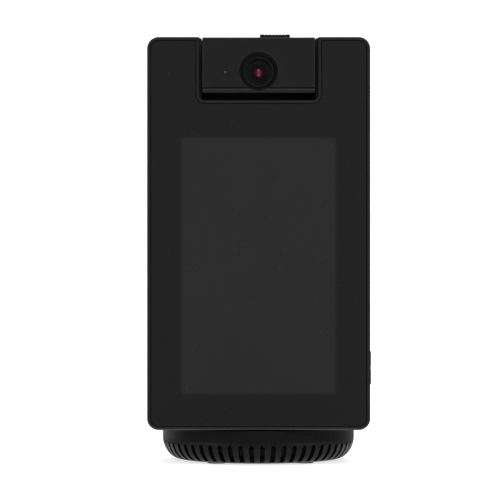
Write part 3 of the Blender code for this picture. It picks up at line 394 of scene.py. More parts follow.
def lens_with_painted_reflections():
    """Dark glass with painted reflections: a painted green-blue reflection towards the edge, a painted red
    reflection of the sensor in the middle, and two painted glints in it.
    """
    material, tree, shader = new_material("lens_with_painted_reflections")
    reach = arithmetic(tree, "DIVIDE", distance_from(tree, 0.0, LENS_Z - PAINTED_PUPIL_DROP), PAINTED_PUPIL_REACH)
    ramp = tree.nodes.new("ShaderNodeValToRGB")
    ramp.color_ramp.elements.remove(ramp.color_ramp.elements[1])
    for i, (position, colour) in enumerate(PAINTED_LENS_REFLECTIONS):
        stop = ramp.color_ramp.elements[0] if i == 0 else ramp.color_ramp.elements.new(position)
        stop.position = position
        stop.color = (*colour, 1.0)
    tree.links.new(reach, ramp.inputs["Fac"])
    colour = ramp.outputs["Color"]
    # Paints the two glints into the colour as painted highlights.
    for rise in PAINTED_GLINT_RISES:
        near = tree.nodes.new("ShaderNodeMapRange")
        near.interpolation_type = "SMOOTHSTEP"
        near.inputs["From Min"].default_value = PAINTED_GLINT_RADIUS
        near.inputs["From Max"].default_value = 0.0
        tree.links.new(distance_from(tree, 0.0, LENS_Z + rise), near.inputs["Value"])
        mix = tree.nodes.new("ShaderNodeMix")
        mix.data_type = "RGBA"
        tree.links.new(colour, mix.inputs["A"])
        mix.inputs["B"].default_value = (*PAINTED_GLINT_TINT, 1.0)
        link(tree, near, "Result", mix, "Factor")
        colour = mix.outputs["Result"]
    tree.links.new(colour, shader.inputs["Base Color"])
    smear = noise(tree, 700.0, 4.0)
    link(tree, spread(tree, smear, 0.10, 0.16), "Result", shader, "Roughness")
    bump(tree, shader, noise(tree, 300.0, 2.0), 0.000004, 0.05)
    shader.inputs["Specular IOR Level"].default_value = 0.25
    return material


LENS = lens_with_painted_reflections()

# ------------------------------------------------------------------ mesh helpers


def put(name, mesh, *materials):
    obj = bpy.data.objects.new(name, mesh)
    for material in materials:
        obj.data.materials.append(material)
    bpy.context.scene.collection.objects.link(obj)
    return obj


def settled(bm, name):
    bmesh.ops.remove_doubles(bm, verts=bm.verts, dist=1e-8)
    bmesh.ops.recalc_face_normals(bm, faces=bm.faces)
    mesh = bpy.data.meshes.new(name)
    bm.to_mesh(mesh)
    bm.free()
    return mesh


def skin(name, rings, material, around=True, loop=False):
    """Quads through rows of points: each row closed when around, and the rows themselves when loop.

    Rows that aren't a loop are capped at both ends."""
    bm = bmesh.new()
    rows = [[bm.verts.new(point) for point in points] for points in rings]
    pairs = list(zip(rows, rows[1:])) + ([(rows[-1], rows[0])] if loop else [])
    for first, second in pairs:
        for i in range(len(first) if around else len(first) - 1):
            j = (i + 1) % len(first)
            bm.faces.new((first[i], first[j], second[j], second[i]))
    if not loop:
        bm.faces.new(rows[0])
        bm.faces.new(rows[-1])
    return put(name, settled(bm, name), material)


AXIS_TURNS = {
    "X": Matrix.Rotation(math.pi / 2, 4, "Y"),
    "Y": Matrix.Rotation(-math.pi / 2, 4, "X"),
    "Z": Matrix.Identity(4),
}


def turned(name, profile, material, steps=96, axis="Z", centre=(0, 0, 0), phase=0.0):
    """A closed outline of (radius, height) turned about an axis; a point on the axis is shared."""
    rings = []
    for i in range(steps):
        angle = math.tau * i / steps + phase
        rings.append([(r * math.cos(angle), r * math.sin(angle), h) for r, h in profile])
    piece = skin(name, rings, material, around=True, loop=True)
    piece.data.transform(Matrix.Translation(centre) @ AXIS_TURNS[axis])
    return piece


def arc(centre, radius, start, end, steps, rise=None):
    """Points on an arc between angles in degrees, or on an ellipse whose upright half axis is rise."""
    rise = radius if rise is None else rise
    angles = [math.radians(start + (end - start) * i / steps) for i in range(steps + 1)]
    return [(centre[0] + radius * math.cos(a), centre[1] + rise * math.sin(a)) for a in angles]


def carve(target, *tools, operation="DIFFERENCE"):
    """Applies Boolean cuts to target's mesh, and removes the tools."""
    for tool in tools:
        modifier = target.modifiers.new("cut", "BOOLEAN")
        modifier.operation = operation
        modifier.object = tool
    return baked(target, tools)


def baked(target, tools=()):
    """Turns target's modifiers into mesh."""
    depsgraph = bpy.context.evaluated_depsgraph_get()
    mesh = bpy.data.meshes.new_from_object(target.evaluated_get(depsgraph))
    target.modifiers.clear()
    target.data = mesh
    for tool in tools:
        bpy.data.objects.remove(tool)
    return target


def painted(target, materials, choose):
    """Gives target several materials, and each face the one whose place in the list choose returns."""
    target.data.materials.clear()
    for material in materials:
        target.data.materials.append(material)
    for face in target.data.polygons:
        face.material_index = choose(face)


def shaded(target, angle=32.0):
    """Smooth shading with true edges, and normals that keep flat faces flat."""
    target.data.shade_smooth()
    target.data.set_sharp_from_angle(angle=math.radians(angle))
    modifier = target.modifiers.new("normals", "WEIGHTED_NORMAL")
    modifier.keep_sharp = True
    modifier.weight = 100
    return target


def block(name, low, high, material, radius=0.0, segments=3):
    low, high = Vector(low), Vector(high)
    bm = bmesh.new()
    place = Matrix.Translation((low + high) / 2) @ Matrix.Diagonal((*(high - low), 1.0))
    bmesh.ops.create_cube(bm, size=1.0, matrix=place)
    if radius:
        bmesh.ops.bevel(bm, geom=bm.edges[:], offset=radius, segments=segments, affect="EDGES", profile=0.5)
    return put(name, settled(bm, name), material)


def prism(name, outline, low, high, material, axis="X"):
    """A flat outline carried along X (outline in y, z) or Y (outline in x, z)."""
    if axis == "X":
        rings = [[(x, u, v) for u, v in outline] for x in (low, high)]
    else:
        rings = [[(u, y, v) for u, v in outline] for y in (low, high)]
    return skin(name, rings, material)


def rod(name, radius, low, high, material, axis="Y", centre=(0, 0, 0), steps=48):
    """A plain cylinder between two heights along an axis; it serves as a cutter or a blank."""
    profile = [(radius, high), (radius, low), (0.0, low), (0.0, high)]
    return turned(name, profile, material, steps, axis, centre)


def merged(name, pieces, material):
    """One object from several separate ones."""
    bm = bmesh.new()
    for piece in pieces:
        bm.from_mesh(piece.data)
        bpy.data.objects.remove(piece)
    return put(name, settled(bm, name), material)


# ------------------------------------------------------------------ shapes shared by several pieces


def face_outline(inset=0.0, side_room=0.0, floor_room=0.0, steps=12):
    """The face's notched outline moved inwards by inset, its notch alone widened and deepened."""
    side = BODY_HALF - inset
    low, high = BODY_LOW + inset, BODY_HIGH - inset
    corner = max(BODY_CORNER - inset, 0.0006)
    notch = NOTCH_HALF + inset + side_room
    floor = NOTCH_FLOOR - inset - floor_room
    hollow = NOTCH_CORNER + inset
    ear = max(EAR_CORNER - inset, 0.00005)
    points = arc((-side + corner, low + corner), corner, 180, 270, steps)
    points += arc((side - corner, low + corner), corner, 270, 360, steps)
    points += arc((side - corner, high - corner), corner, 0, 90, steps)
    points += arc((notch + ear, high - ear), ear, 90, 180, 4)
    points += arc((notch - hollow, floor + hollow), hollow, 0, -90, steps)
    points += arc((-notch + hollow, floor + hollow), hollow, -90, -180, steps)
    points += arc((-notch - ear, high - ear), ear, 0, 90, 4)
    points += arc((-side + corner, high - corner), corner, 90, 180, steps)
    return points


def face_ring(y, inset, behind_lip=False):
    room = (BAY_SIDE_ROOM, BAY_FLOOR_ROOM) if behind_lip else (0.0, 0.0)
    return [(x, y, z) for x, z in face_outline(inset, *room)]


def half_width(height, inset):
    side = BODY_HALF - inset
    corner = BODY_CORNER - inset
    from_edge = min(height - BODY_LOW, BODY_HIGH - height) - inset
    short = max(corner - from_edge, 0.0)
    return side - corner + math.sqrt(max(corner**2 - short**2, 0.0))


BACK_SLOPE = (REAR_HIGH.y - BACK_TOP_Y) / (BODY_HIGH - (BACK_BEND_LOW + BACK_BEND_HIGH) / 2)


def back_y(height, inset):
    if height < BACK_BEND_LOW:
        back = REAR_HIGH.y
    elif height < BACK_BEND_HIGH:
        span = BACK_BEND_HIGH - BACK_BEND_LOW
        back = REAR_HIGH.y - BACK_SLOPE / (2 * span) * (height - BACK_BEND_LOW) ** 2
    else:
        back = BACK_TOP_Y + BACK_SLOPE * (BODY_HIGH - height)
    rounding = BACK_ROUND - inset
    from_edge = min(height - BODY_LOW, BODY_HIGH - height) - inset
    short = max(rounding - from_edge, 0.0)
    return back - inset - rounding + math.sqrt(max(rounding**2 - short**2, 0.0))


def rear_solid(name, front_y, inset, material, segments=96, round_steps=10):
    """The wedge-shaped rear volume from level sections, its edge at the seam a little rounded."""
    low, high = BODY_LOW + inset, BODY_HIGH - inset
    rounding = BACK_ROUND - inset
    rises = [rounding * (1 - math.cos(math.pi / 2 * i / round_steps)) for i in range(round_steps + 1)]
    heights = [low + rise for rise in rises]
    heights += [BACK_BEND_LOW + (BACK_BEND_HIGH - BACK_BEND_LOW) * i / 12 for i in range(13)]
    heights += [0.080, 0.105, 0.130, 0.150]
    heights += [high - rise for rise in reversed(rises)]
    rings = []
    for height in heights:
        half, depth = half_width(height, inset), back_y(height, inset) - REAR_LOW.y
        points = []
        for i in range(segments + 1):
            turn = math.pi * i / segments
            across = math.copysign(abs(math.cos(turn)) ** (2 / BACK_SQUARENESS), math.cos(turn))
            back = max(math.sin(turn), 0.0) ** (2 / BACK_SQUARENESS)
            points.append((half * across, REAR_LOW.y + max(depth * back, SEAM_ROUND), height))
        ahead = min(front_y, REAR_LOW.y)
        points += [(-half + SEAM_ROUND, ahead, height), (half - SEAM_ROUND, ahead, height)]
        rings.append(points)
    return skin(name, rings, material)


def sweep_angle(y, radius):
    return 360 - math.degrees(math.acos((y - TILT_Y) / radius))


def bay_outline(grow, front_y, top_z, steps=24):
    """The trough's section as (y, z): sweep, then the head's underside as it looks down, then its back."""
    sweep, close = SWEEP_RADIUS + grow, BAY_RADIUS + grow
    tangent = 270 + TILT_DOWN
    sweep_end = tangent - math.degrees(math.acos(close / sweep))
    points = arc((TILT_Y, TILT_Z), sweep, sweep_angle(front_y, sweep), sweep_end, steps)
    points += arc((TILT_Y, TILT_Z), close, tangent, 360, steps)
    return points + [(TILT_Y + close, top_z), (front_y, top_z)]


def bay_mouth_outline(front_y, top_z, steps=24):
    """The trough's section ahead of the step in its cheeks, as (y, z)."""
    first, last = (sweep_angle(y, SWEEP_RADIUS) for y in (front_y, BAY_STEP_Y))
    points = arc((TILT_Y, TILT_Z), SWEEP_RADIUS, first, last, steps)
    return points + [(BAY_STEP_Y, top_z), (front_y, top_z)]


def head_outline(grow=0.0, front_y=None, steps=10):
    """The camera head's section as (y, z): a square front with rounded edges and a round back."""
    front = FACE_Y - grow if front_y is None else front_y
    low, high = HEAD_LOW.z - grow, HEAD_HIGH.z + grow
    bottom, top = HEAD_LOW_ROUND + grow, max(HEAD_TOP_ROUND + grow, 0.0002)
    points = arc((front + top, high - top), top, 90, 180, 6)
    points += arc((front + bottom, low + bottom), bottom, 180, 270, steps)
    return points + arc((TILT_Y, TILT_Z), HEAD_RADIUS + grow, -90, 90, steps * 4)


def head_solid(name, material, edge=0.0006, steps=5):
    """The whole head, with its two side edges rounded."""
    rings = []
    for side in (-1, 1):
        turns = [math.pi / 2 * i / steps for i in range(steps + 1)]
        for turn in turns if side < 0 else reversed(turns):
            inset = edge * (1 - math.sin(turn))
            x = side * (HEAD_HALF - edge * (1 - math.cos(turn)))
            rings.append([(x, y, z) for y, z in head_outline(-inset)])
    return skin(name, rings, material)


# ------------------------------------------------------------------ display body


def make_housing():
    """The front housing as one closed band: outside, rim, groove, glass seat and inner wall."""
    steps = 8
    seat_y = FACE_Y + GLASS_SEAT_DEPTH
    lip_y = FACE_Y + NOTCH_LIP
    small = 0.0002
    rings = [face_ring(SEAM_Y, SEAM_ROUND, True), face_ring(SEAM_Y - SEAM_ROUND, 0.0, True)]
    rings += [face_ring(lip_y, 0.0, True), face_ring(lip_y, small), face_ring(lip_y - small, 0.0)]
    for i in range(steps + 1):
        turn = math.pi / 2 * i / steps
        inset = EDGE_ROUND * (1 - math.cos(turn))
        rings.append(face_ring(FACE_Y + EDGE_ROUND * (1 - math.sin(turn)), inset))
    rim = GLASS_INSET - GAP
    shelf = 0.0050
    rings += [face_ring(FACE_Y, rim - small / 2), face_ring(FACE_Y + small / 2, rim), face_ring(seat_y, rim)]
    rings += [face_ring(seat_y, shelf), face_ring(seat_y + 0.0008, shelf)]
    rings += [face_ring(seat_y + 0.0010, SHELL_WALL, True), face_ring(SEAM_Y, SHELL_WALL, True)]
    housing = skin("housing_surface", rings, BODY_BLACK, loop=True)
    key_low, key_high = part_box("side_key")
    lip = KEY_FLANGE - GAP
    hole = block(
        "key_hole",
        (key_low.x + 0.001, key_low.y + lip, key_low.z + lip),
        (key_high.x + 0.002, key_high.y - lip, key_high.z - lip),
        BODY_BLACK,
        0.0004,
    )
    carve(housing, hole)
    shaded(housing)
    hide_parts("front_housing")
    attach(housing, "display")


def make_glass():
    """The cover glass with its fine ground edge, and the pane over the screen."""
    edge = 0.00018
    rings = [face_ring(GLASS_HIGH.y, GLASS_INSET), face_ring(FACE_Y + edge, GLASS_INSET)]
    rings += [face_ring(FACE_Y + edge * 0.3, GLASS_INSET + edge * 0.3), face_ring(FACE_Y, GLASS_INSET + edge)]
    glass = skin("cover_glass", rings, COVER_PRINT)
    pane = 0.0004
    low, high = (-SCREEN_HALF, FACE_Y - 0.001, SCREEN_LOW), (SCREEN_HALF, FACE_Y + pane, SCREEN_HIGH)
    carve(glass, block("window_cut", low, high, COVER_PRINT))
    shaded(glass)
    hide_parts("front_glass")
    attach(glass, "display")

    low, high = (-SCREEN_HALF, FACE_Y, SCREEN_LOW), (SCREEN_HALF, FACE_Y + pane, SCREEN_HIGH)
    screen = block("screen_window", low, high, SCREEN_DARK)
    shaded(screen)
    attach(screen, "display")


def make_rear_shell():
    """The rear shell with its grille and its four screw towers."""
    shell = rear_solid("rear_surface", REAR_LOW.y, 0.0, BODY_BLACK)
    inside = rear_solid("rear_inside", REAR_LOW.y - PAST, SHELL_WALL, INNER_BLACK_PAINTED_LIGHT, 48, 6)
    half = BAY_HIGH.x + GAP
    bay = prism("bay_cut", bay_outline(BAY_WALL + GAP, FACE_Y, BODY_HIGH + 0.01), -half, half, BODY_BLACK)
    low, high = BODY_LOW - PAST, BODY_LOW + SHELL_WALL + PAST
    spindle = rod("spindle_cut", SPINDLE_HOLE, low, high, INNER_BLACK_PAINTED_LIGHT, "Z")
    carve(shell, inside, bay, spindle)

    envelope = rear_solid("tower_envelope", REAR_LOW.y, SHELL_WALL / 2, BODY_BLACK, 48, 6)
    places = [(side * TOWER_X, 0.0, z) for z in TOWER_HEIGHTS for side in (-1, 1)]
    far = REAR_HIGH.y + PAST
    towers = [rod("tower", TOWER_RADIUS, REAR_LOW.y + GAP, far, BODY_BLACK, "Y", place) for place in places]
    wells = [rod("well", WELL_RADIUS, SCREW_SEAT_Y, far, BODY_BLACK, "Y", place) for place in places]
    near = REAR_LOW.y - PAST
    seat = SCREW_SEAT_Y + PAST / 2
    holes = [rod("hole", PILOT_RADIUS, near, seat, BODY_BLACK, "Y", place) for place in places]
    towers = carve(merged("towers", towers, BODY_BLACK), envelope, operation="INTERSECT")
    carve(shell, towers, operation="UNION")
    carve(shell, merged("wells", wells, BODY_BLACK), merged("holes", holes, BODY_BLACK))

    slots = []
    round_end = GRILLE_HEIGHT / 2
    for i in range(GRILLE_SLOTS):
        z = GRILLE_LOW + i * GRILLE_PITCH + round_end
        outline = arc((GRILLE_HALF - round_end, z), round_end, -90, 90, 8)
        outline += arc((-GRILLE_HALF + round_end, z), round_end, 90, 270, 8)
        slots.append(prism("grille_slot", outline, 0.020, far, BODY_BLACK, "Y"))
    carve(shell, merged("grille_cut", slots, BODY_BLACK))
    shaded(shell)
    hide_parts("rear_shell")
    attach(shell, "display")


def make_bay():
    # The bay wears the lighter inside black, painted light in the shaded gap under the head.
    outside = bay_outline(BAY_WALL, BAY_LOW.y, BODY_HIGH)
    bay = prism("bay_surface", outside, BAY_LOW.x, BAY_HIGH.x, INNER_BLACK_PAINTED_LIGHT)
    reach = BAY_LOW.y - PAST
    above = BODY_HIGH + 0.005
    inside = prism("bay_inside", bay_outline(0.0, reach, above), -BAY_CLOSE_HALF, BAY_CLOSE_HALF, INNER_BLACK_PAINTED_LIGHT)
    mouth = prism("bay_mouth", bay_mouth_outline(reach, above), -NOTCH_HALF, NOTCH_HALF, INNER_BLACK_PAINTED_LIGHT)
    bush_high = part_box("tilt_bush_right")[1]
    bush_radius = bush_high.z - TILT_Z + GAP
    place = (0, TILT_Y, TILT_Z)
    bushes = rod("bush_cut", bush_radius, -HEAD_CUT_HALF, HEAD_CUT_HALF, INNER_BLACK_PAINTED_LIGHT, "X", place)
    carve(bay, inside, mouth, bushes)
    shaded(bay)
    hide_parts("camera_bay")
    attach(bay, "display")


def make_side_key():
    """The rocker key with its rounded cap, a shallow thumb rest at its middle, and its inner flange."""
    low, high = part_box("side_key")
    inner = low.x + KEY_FLANGE
    cap_low = (inner, low.y + KEY_FLANGE, low.z + KEY_FLANGE)
    cap_high = (high.x, high.y - KEY_FLANGE, high.z - KEY_FLANGE)
    key = block("volume_rocker", cap_low, cap_high, BODY_BLACK, 0.0004, 5)
    flange = block("flange", low, (inner + 0.0004, high.y, high.z), BODY_BLACK, 0.0001, 1)
    carve(key, flange, operation="UNION")
    dip = 0.00012
    scoop_radius = 0.0060
    place = (high.x + scoop_radius - dip, 0, (low.z + high.z) / 2)
    scoop = rod("scoop", scoop_radius, low.y, high.y, BODY_BLACK, "Y", place)
    carve(key, scoop)
    shaded(key)
    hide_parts("side_key")
    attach(key, "volume_key")


# ------------------------------------------------------------------ camera head


def head_hollow():
    outline = head_outline(-HEAD_WALL, FACE_Y + HEAD_FACE_WALL)
    half = HEAD_HALF - HEAD_WALL
    return prism("head_hollow", outline, -half, half, INNER_BLACK_PAINTED_LIGHT)


def head_front_material(face):
    """The shell's own black, or else 1 on the flat plate, 2 in the recess and groove, darker as painted
    shade, 3 on the lower lip, lighter as painted light from below.
    """
    reach = math.hypot(face.center.x, face.center.z - LENS_Z)
    on_plate = face.normal.y < -0.99 and face.center.y < FACE_Y + GROOVE_DEPTH / 2
    in_groove = abs(face.center.z - HEAD_GROOVE_Z) < GROOVE_HALF and not on_plate
    if on_plate and face.center.z > HEAD_GROOVE_Z:
        return 1
    if face.center.y > FACE_Y + HEAD_FACE_WALL:
        return 0
    if reach < LENS_OUTER or in_groove:
        return 2
    return 3 if face.center.z < HEAD_GROOVE_Z else 0


def make_head_front():
    """The head's front half, with the lens recess, the light's pin hole and the shutter's slot."""
    front = head_solid("head_front", HEAD_BLACK)
    low, high = (-HEAD_CUT_HALF, HEAD_SEAM_Y, HEAD_CUT_LOW), (HEAD_CUT_HALF, 0.0, HEAD_CUT_HIGH)
    behind = block("behind", low, high, INNER_BLACK_PAINTED_LIGHT)
    ahead = -PAST / 2
    depth = HEAD_FACE_WALL + 0.0002
    rim = LENS_OUTER + RECESS_LIP
    profile = [(0.0, ahead), (rim, ahead)] + arc((rim, RECESS_LIP), RECESS_LIP, 270, 180, 5)
    profile += [(LENS_OUTER - RECESS_TAPER, RECESS_WALL), (LENS_INNER, depth), (0.0, depth)]
    recess = turned("lens_recess", profile, HEAD_BLACK, 96, "Y", (0, FACE_Y, LENS_Z))
    place = (LIGHT_X, FACE_Y, LIGHT_Z)
    pin_hole = rod("light_cut", LIGHT_HOLE_RADIUS, ahead, 2 * PAST, INNER_BLACK_PAINTED_LIGHT, "Y", place, 24)
    outline = [
        (FACE_Y + ahead / 2, HEAD_GROOVE_Z - GROOVE_HALF * 1.5),
        (FACE_Y + GROOVE_DEPTH, HEAD_GROOVE_Z - GROOVE_HALF / 2),
        (FACE_Y + GROOVE_DEPTH, HEAD_GROOVE_Z + GROOVE_HALF / 2),
        (FACE_Y + ahead / 2, HEAD_GROOVE_Z + GROOVE_HALF * 1.5),
    ]
    groove = prism("plate_line", outline, -HEAD_CUT_HALF, HEAD_CUT_HALF, HEAD_BLACK)
    knob_low, knob_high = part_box("shutter_knob")
    middle = (knob_low.x + knob_high.x - SHUTTER_TRAVEL) / 2
    slot_half = (SHUTTER_TRAVEL + STEM_WIDTH) / 2 + 0.001
    slot = block(
        "shutter_slot",
        (middle - slot_half, KNOB_Y - STEM_DEPTH / 2 - GAP, HEAD_HIGH.z - 0.004),
        (middle + slot_half, KNOB_Y + STEM_DEPTH / 2 + GAP, HEAD_HIGH.z + 0.001),
        INNER_BLACK_PAINTED_LIGHT,
        0.0004,
    )
    carve(front, head_hollow(), behind, recess, pin_hole, groove, slot)
    # The lower lip gets a lighter black as painted light; the recess and groove get a darker one as painted
    # shade.
    painted(front, (HEAD_BLACK, HEAD_PLATE, WELL_PAINTED_SHADE, HEAD_LIP_PAINTED_LIGHT), head_front_material)
    shaded(front)
    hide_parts("camera_front_shell")
    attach(front, "camera_head")


def make_head_back():
    back = head_solid("head_back", HEAD_BLACK)
    low = (-HEAD_CUT_HALF, HEAD_CUT_FRONT, HEAD_CUT_LOW)
    ahead = block("ahead", low, (HEAD_CUT_HALF, HEAD_BACK_LOW.y, HEAD_CUT_HIGH), INNER_BLACK_PAINTED_LIGHT)
    shaft_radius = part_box("pan_drive_shaft")[1].x + GAP
    place = (0, TILT_Y, TILT_Z)
    shaft = rod("shaft_cut", shaft_radius, -HEAD_CUT_HALF, HEAD_CUT_HALF, INNER_BLACK_PAINTED_LIGHT, "X", place)
    carve(back, head_hollow(), ahead, shaft)
    shaded(back)
    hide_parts("camera_rear_shell")
    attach(back, "camera_head")


def make_shutter():
    """The shutter's knob, grooved on top for a fingertip, with the stem and arm that carry the blade."""
    low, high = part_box("shutter_knob")
    base_z = HEAD_HIGH.z + GAP
    cap_low = (low.x, KNOB_Y - KNOB_DEPTH / 2, base_z)
    cap_high = (high.x, KNOB_Y + KNOB_DEPTH / 2, high.z)
    knob = block("slider_knob", cap_low, cap_high, HEAD_BLACK, 0.0003, 4)
    middle = (low.x + high.x) / 2
    stem_low = (middle - STEM_WIDTH / 2, KNOB_Y - STEM_DEPTH / 2, low.z + 0.0005)
    stem_high = (middle + STEM_WIDTH / 2, KNOB_Y + STEM_DEPTH / 2, base_z + 0.0005)
    stem = block("stem", stem_low, stem_high, HEAD_BLACK)
    arm_high = (middle + STEM_WIDTH / 2, KNOB_Y + STEM_DEPTH / 2, low.z + 0.0015)
    arm = block("arm", (middle - STEM_WIDTH / 2, low.y, low.z), arm_high, HEAD_BLACK)
    carve(knob, stem, arm, operation="UNION")
    grooves = []
    for i in range(KNOB_GROOVES):
        x = middle + (i - (KNOB_GROOVES - 1) / 2) * KNOB_GROOVE_PITCH
        groove_low = (x - KNOB_GROOVE_HALF, KNOB_Y - KNOB_DEPTH, high.z - KNOB_GROOVE_DEPTH)
        groove_high = (x + KNOB_GROOVE_HALF, KNOB_Y + KNOB_DEPTH, high.z + PAST / 2)
        grooves.append(block("groove", groove_low, groove_high, HEAD_BLACK))
    carve(knob, merged("grooves", grooves, HEAD_BLACK))
    shaded(knob)
    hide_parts("shutter_knob")
    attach(knob, "privacy_shutter")


def make_lens():
    """The stepped ring inside the recess, and the domed front element."""
    front = LENS_LOW.y
    deep = LENS_HIGH.y - front
    outer = (LENS_HIGH.x - LENS_LOW.x) / 2
    glass_low, glass_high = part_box("lens_glass")
    radius = (glass_high.x - glass_low.x) / 2
    step = (outer - radius - GAP) / 5
    profile = [(outer, deep), (outer, 0.0)]
    for i in range(1, 5):
        edge = outer - i * step
        profile += [(edge + 0.2 * step, (i - 1) * 1.1 * step), (edge, (i - 1) * 1.1 * step + 0.7 * step)]
    profile += [(radius + GAP, deep * 0.8), (radius + GAP, deep)]
    ring = turned("lens_ring", profile, LENS_RING_BLACK, 96, "Y", (0, front, LENS_Z))
    shaded(ring)
    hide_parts("lens_bezel_ring")
    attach(ring, "camera_head")

    rise = 0.0009
    depth = glass_high.y - glass_low.y
    sphere = (radius**2 + rise**2) / (2 * rise)
    steps = 16
    dome = [(0.0, depth)]
    for i in range(steps + 1):
        r = radius * i / steps
        dome.append((r, rise + math.sqrt(sphere**2 - radius**2) - math.sqrt(sphere**2 - r**2)))
    dome.append((radius, depth))
    lens = turned("front_element", dome, LENS, 96, "Y", (0, glass_low.y, LENS_Z))
    shaded(lens, 60.0)
    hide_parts("lens_glass")
    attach(lens, "camera_head")


# ------------------------------------------------------------------ base


def make_base():
    """The base's turned shell, with its ring of slots and the pocket for the power socket.

    Its top stands a little above the CAD node's, just clear of the display, so the joint looks narrow."""
    centre = (BASE_RADIUS - BASE_ROUND_OUT, BASE_LOW.z + BASE_ROUND_UP)
    top_z = BODY_LOW - GAP
    top_centre = (BASE_RADIUS - BASE_TOP_ROUND, top_z - BASE_TOP_ROUND)
    deck_z = BASE_HIGH.z - BASE_DECK
    profile = [(BASE_HOLE, top_z)]
    profile += arc(top_centre, BASE_TOP_ROUND, 90, 0, 5)
    profile += arc(centre, BASE_ROUND_OUT, 0, -90, 20, BASE_ROUND_UP)
    profile += arc(centre, BASE_ROUND_OUT - BASE_WALL, -90, 0, 8, BASE_ROUND_UP - BASE_WALL)
    profile += [(BASE_RADIUS - BASE_WALL, deck_z), (BASE_HOLE, deck_z)]
    shell = turned("base_surface", profile, BASE_BLACK, SLOT_COUNT * 4, phase=SLOT_PHASE)

    bezel_low, bezel_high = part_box("usb_bezel")
    outline = [(-SLOT_HALF, SLOT_LOW), (SLOT_HALF, SLOT_LOW)]
    outline += arc((0, SLOT_HIGH - SLOT_HALF), SLOT_HALF, 0, 180, 10)
    slots = []
    for i in range(SLOT_COUNT):
        angle = math.tau * i / SLOT_COUNT + SLOT_PHASE
        if math.cos(angle) > 0 and abs(math.sin(angle)) * BASE_RADIUS < bezel_high.x + 2 * SLOT_HALF:
            continue
        slot = prism("slot", outline, centre[0] - BASE_TOP_ROUND, BASE_RADIUS + 0.001, BASE_BLACK, "Y")
        slot.data.transform(Matrix.Rotation(angle, 4, "Z"))
        slots.append(slot)
    wall = 0.0008
    pocket = block(
        "pocket",
        (bezel_low.x + wall, bezel_low.y, bezel_low.z + wall),
        (bezel_high.x - wall, BASE_RADIUS + 0.001, bezel_high.z - wall),
        BASE_BLACK,
        0.0008,
        5,
    )
    seat_low, seat_high = bezel_low - Vector((GAP, 0.001, GAP)), bezel_high + Vector((GAP, GAP, GAP))
    seat = block("bezel_seat", seat_low, seat_high, BASE_BLACK)
    carve(shell, merged("slots", slots, BASE_BLACK), pocket, seat)
    painted(shell, (BASE_BLACK, RIB_BLACK), lambda face: 1 if face.center.z < SLOT_HIGH else 0)
    shaded(shell)
    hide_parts("base_shell")
    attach(shell, "base")


# ------------------------------------------------------------------ pieces kept from the frame

KEPT = {
    STEEL: ["base_screw_1", "base_screw_2", "base_screw_3", "pan_retaining_ring", "pan_drive_shaft"]
    + ["usb_socket"],
    DARK_STEEL: ["counterweight_plate", "rear_screw_low_left", "rear_screw_low_right"]
    + ["rear_screw_high_left", "rear_screw_high_right", "tilt_drive_hub", "tilt_pivot_pin"],
    BRUSHED: ["pan_motor", "pan_motor_bracket", "tilt_motor", "lcd_back_frame", "speaker_driver"],
    ALUMINIUM: ["heat_spreader"],
    ACETAL: ["pan_spindle", "pan_thrust_washer"],
    BLACK_ACETAL: ["tilt_bush_left", "tilt_bush_right"],
    BOARD: ["main_board", "base_power_board", "sensor_board", "key_switch_board", "wifi_antenna"],
    RUBBER: ["foot_1", "foot_2", "foot_3", "foot_4"],
    BODY_BLACK: ["shutter_blade"],
    INNER_BLACK_PAINTED_LIGHT: ["usb_bezel", "lens_barrel", "speaker_box", "base_bottom_cover"],
    PANEL_GREY: ["lcd_panel"],
    PIPE: ["status_light_pipe"],
}


def dress_kept_nodes():
    for material, names in KEPT.items():
        for name in names:
            mesh = NODES[name].data
            mesh.materials.clear()
            mesh.materials.append(material)
            mesh.shade_smooth()
            mesh.set_sharp_from_angle(angle=math.radians(32))


make_housing()
make_glass()
make_rear_shell()
make_bay()
make_side_key()
make_head_front()
make_head_back()
make_shutter()
make_lens()
make_base()
dress_kept_nodes()

# ------------------------------------------------------------------ stage, light and camera


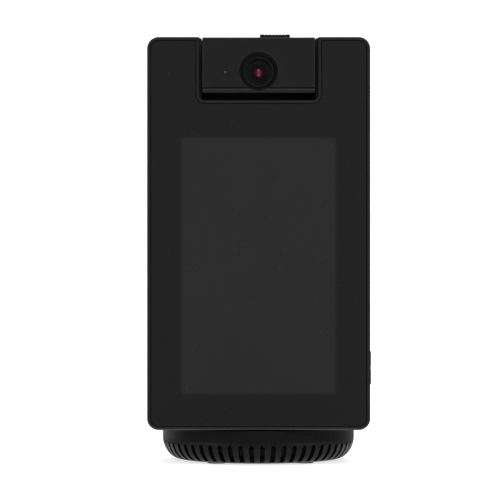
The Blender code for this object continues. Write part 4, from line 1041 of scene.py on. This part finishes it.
def make_stage():
    """A softly glowing light table that curves up into a wall.

    Only the patch that the object stands on is seen in its gloss; the rest is flagged off from it."""
    columns = (-STAGE_HALF, -PATCH_HALF, PATCH_HALF, STAGE_HALF)
    profile = [(-STAGE_HALF, 0.0), (-PATCH_HALF, 0.0), (PATCH_HALF, 0.0), (STAGE_TURN, 0.0)]
    profile += arc((STAGE_TURN, STAGE_TURN), STAGE_TURN, -90, 0, 16)[1:] + [(2 * STAGE_TURN, STAGE_TOP)]
    material, tree, shader = new_material("pale_floor")
    tinted(tree, shader, noise(tree, 6.0), (0.78, 0.78, 0.78), (0.82, 0.82, 0.82))
    shader.inputs["Roughness"].default_value = 0.8
    shader.inputs["Specular IOR Level"].default_value = 0.2
    shader.inputs["Emission Color"].default_value = (1.0, 1.0, 1.0, 1.0)
    shader.inputs["Emission Strength"].default_value = TABLE_GLOW
    for name in ("table_patch", "light_table"):
        bm = bmesh.new()
        grid = [[bm.verts.new((x, y, z)) for y, z in profile] for x in columns]
        for i in range(len(columns) - 1):
            for j in range(len(profile) - 1):
                in_middle = (i, j) == (1, 1)
                if in_middle == (name == "table_patch"):
                    bm.faces.new((grid[i][j], grid[i + 1][j], grid[i + 1][j + 1], grid[i][j + 1]))
        bmesh.ops.delete(bm, geom=[v for v in bm.verts if not v.link_faces], context="VERTS")
        stage = put(name, settled(bm, name), material)
        stage.data.shade_smooth()
        stage.visible_glossy = name == "table_patch"


def area_light(name, place, target, width, height, power):
    data = bpy.data.lights.new(name, "AREA")
    data.shape = "RECTANGLE"
    data.size = width
    data.size_y = height
    data.energy = power
    light = bpy.data.objects.new(name, data)
    light.location = place
    light.rotation_euler = (Vector(target) - Vector(place)).to_track_quat("-Z", "Y").to_euler()
    bpy.context.scene.collection.objects.link(light)
    return light


def make_light():
    """Soft light from above and from the front, and two weak panels behind that rim the base's sides.

    The front light isn't seen in the object's gloss, and the panels behind aren't seen by the camera."""
    world = bpy.data.worlds.new("studio")
    bpy.context.scene.world = world
    world.use_nodes = True
    world.node_tree.nodes["Background"].inputs["Color"].default_value = (1.0, 1.0, 1.0, 1.0)
    world.node_tree.nodes["Background"].inputs["Strength"].default_value = WORLD_GLOW
    area_light("overhead", (0.0, 0.3, 1.9), (0, 0.2, 0), 2.4, 2.2, 10.0)
    fill = area_light("front_top", (0.3, -1.3, 1.5), (0, 0, 0.1), 1.4, 1.0, 22.0)
    fill.visible_glossy = False
    for name, side, power in (("left_rim", -1, 0.65), ("right_rim", 1, 0.20)):
        rim = area_light(name, (side * 0.85, 0.85, 0.15), (0, 0, 0.05), 1.2, 0.5, power)
        rim.visible_camera = False


def make_camera():
    data = bpy.data.cameras.new("camera")
    data.sensor_width = CAMERA_SENSOR
    data.lens = CAMERA_FOCAL
    data.clip_end = 20.0
    camera = bpy.data.objects.new("camera", data)
    camera.location = CAMERA_PLACE
    camera.rotation_euler = (math.pi / 2, 0.0, 0.0)
    bpy.context.scene.collection.objects.link(camera)
    bpy.context.scene.camera = camera


make_stage()
make_light()
make_camera()
bpy.context.scene.view_settings.view_transform = "Standard"
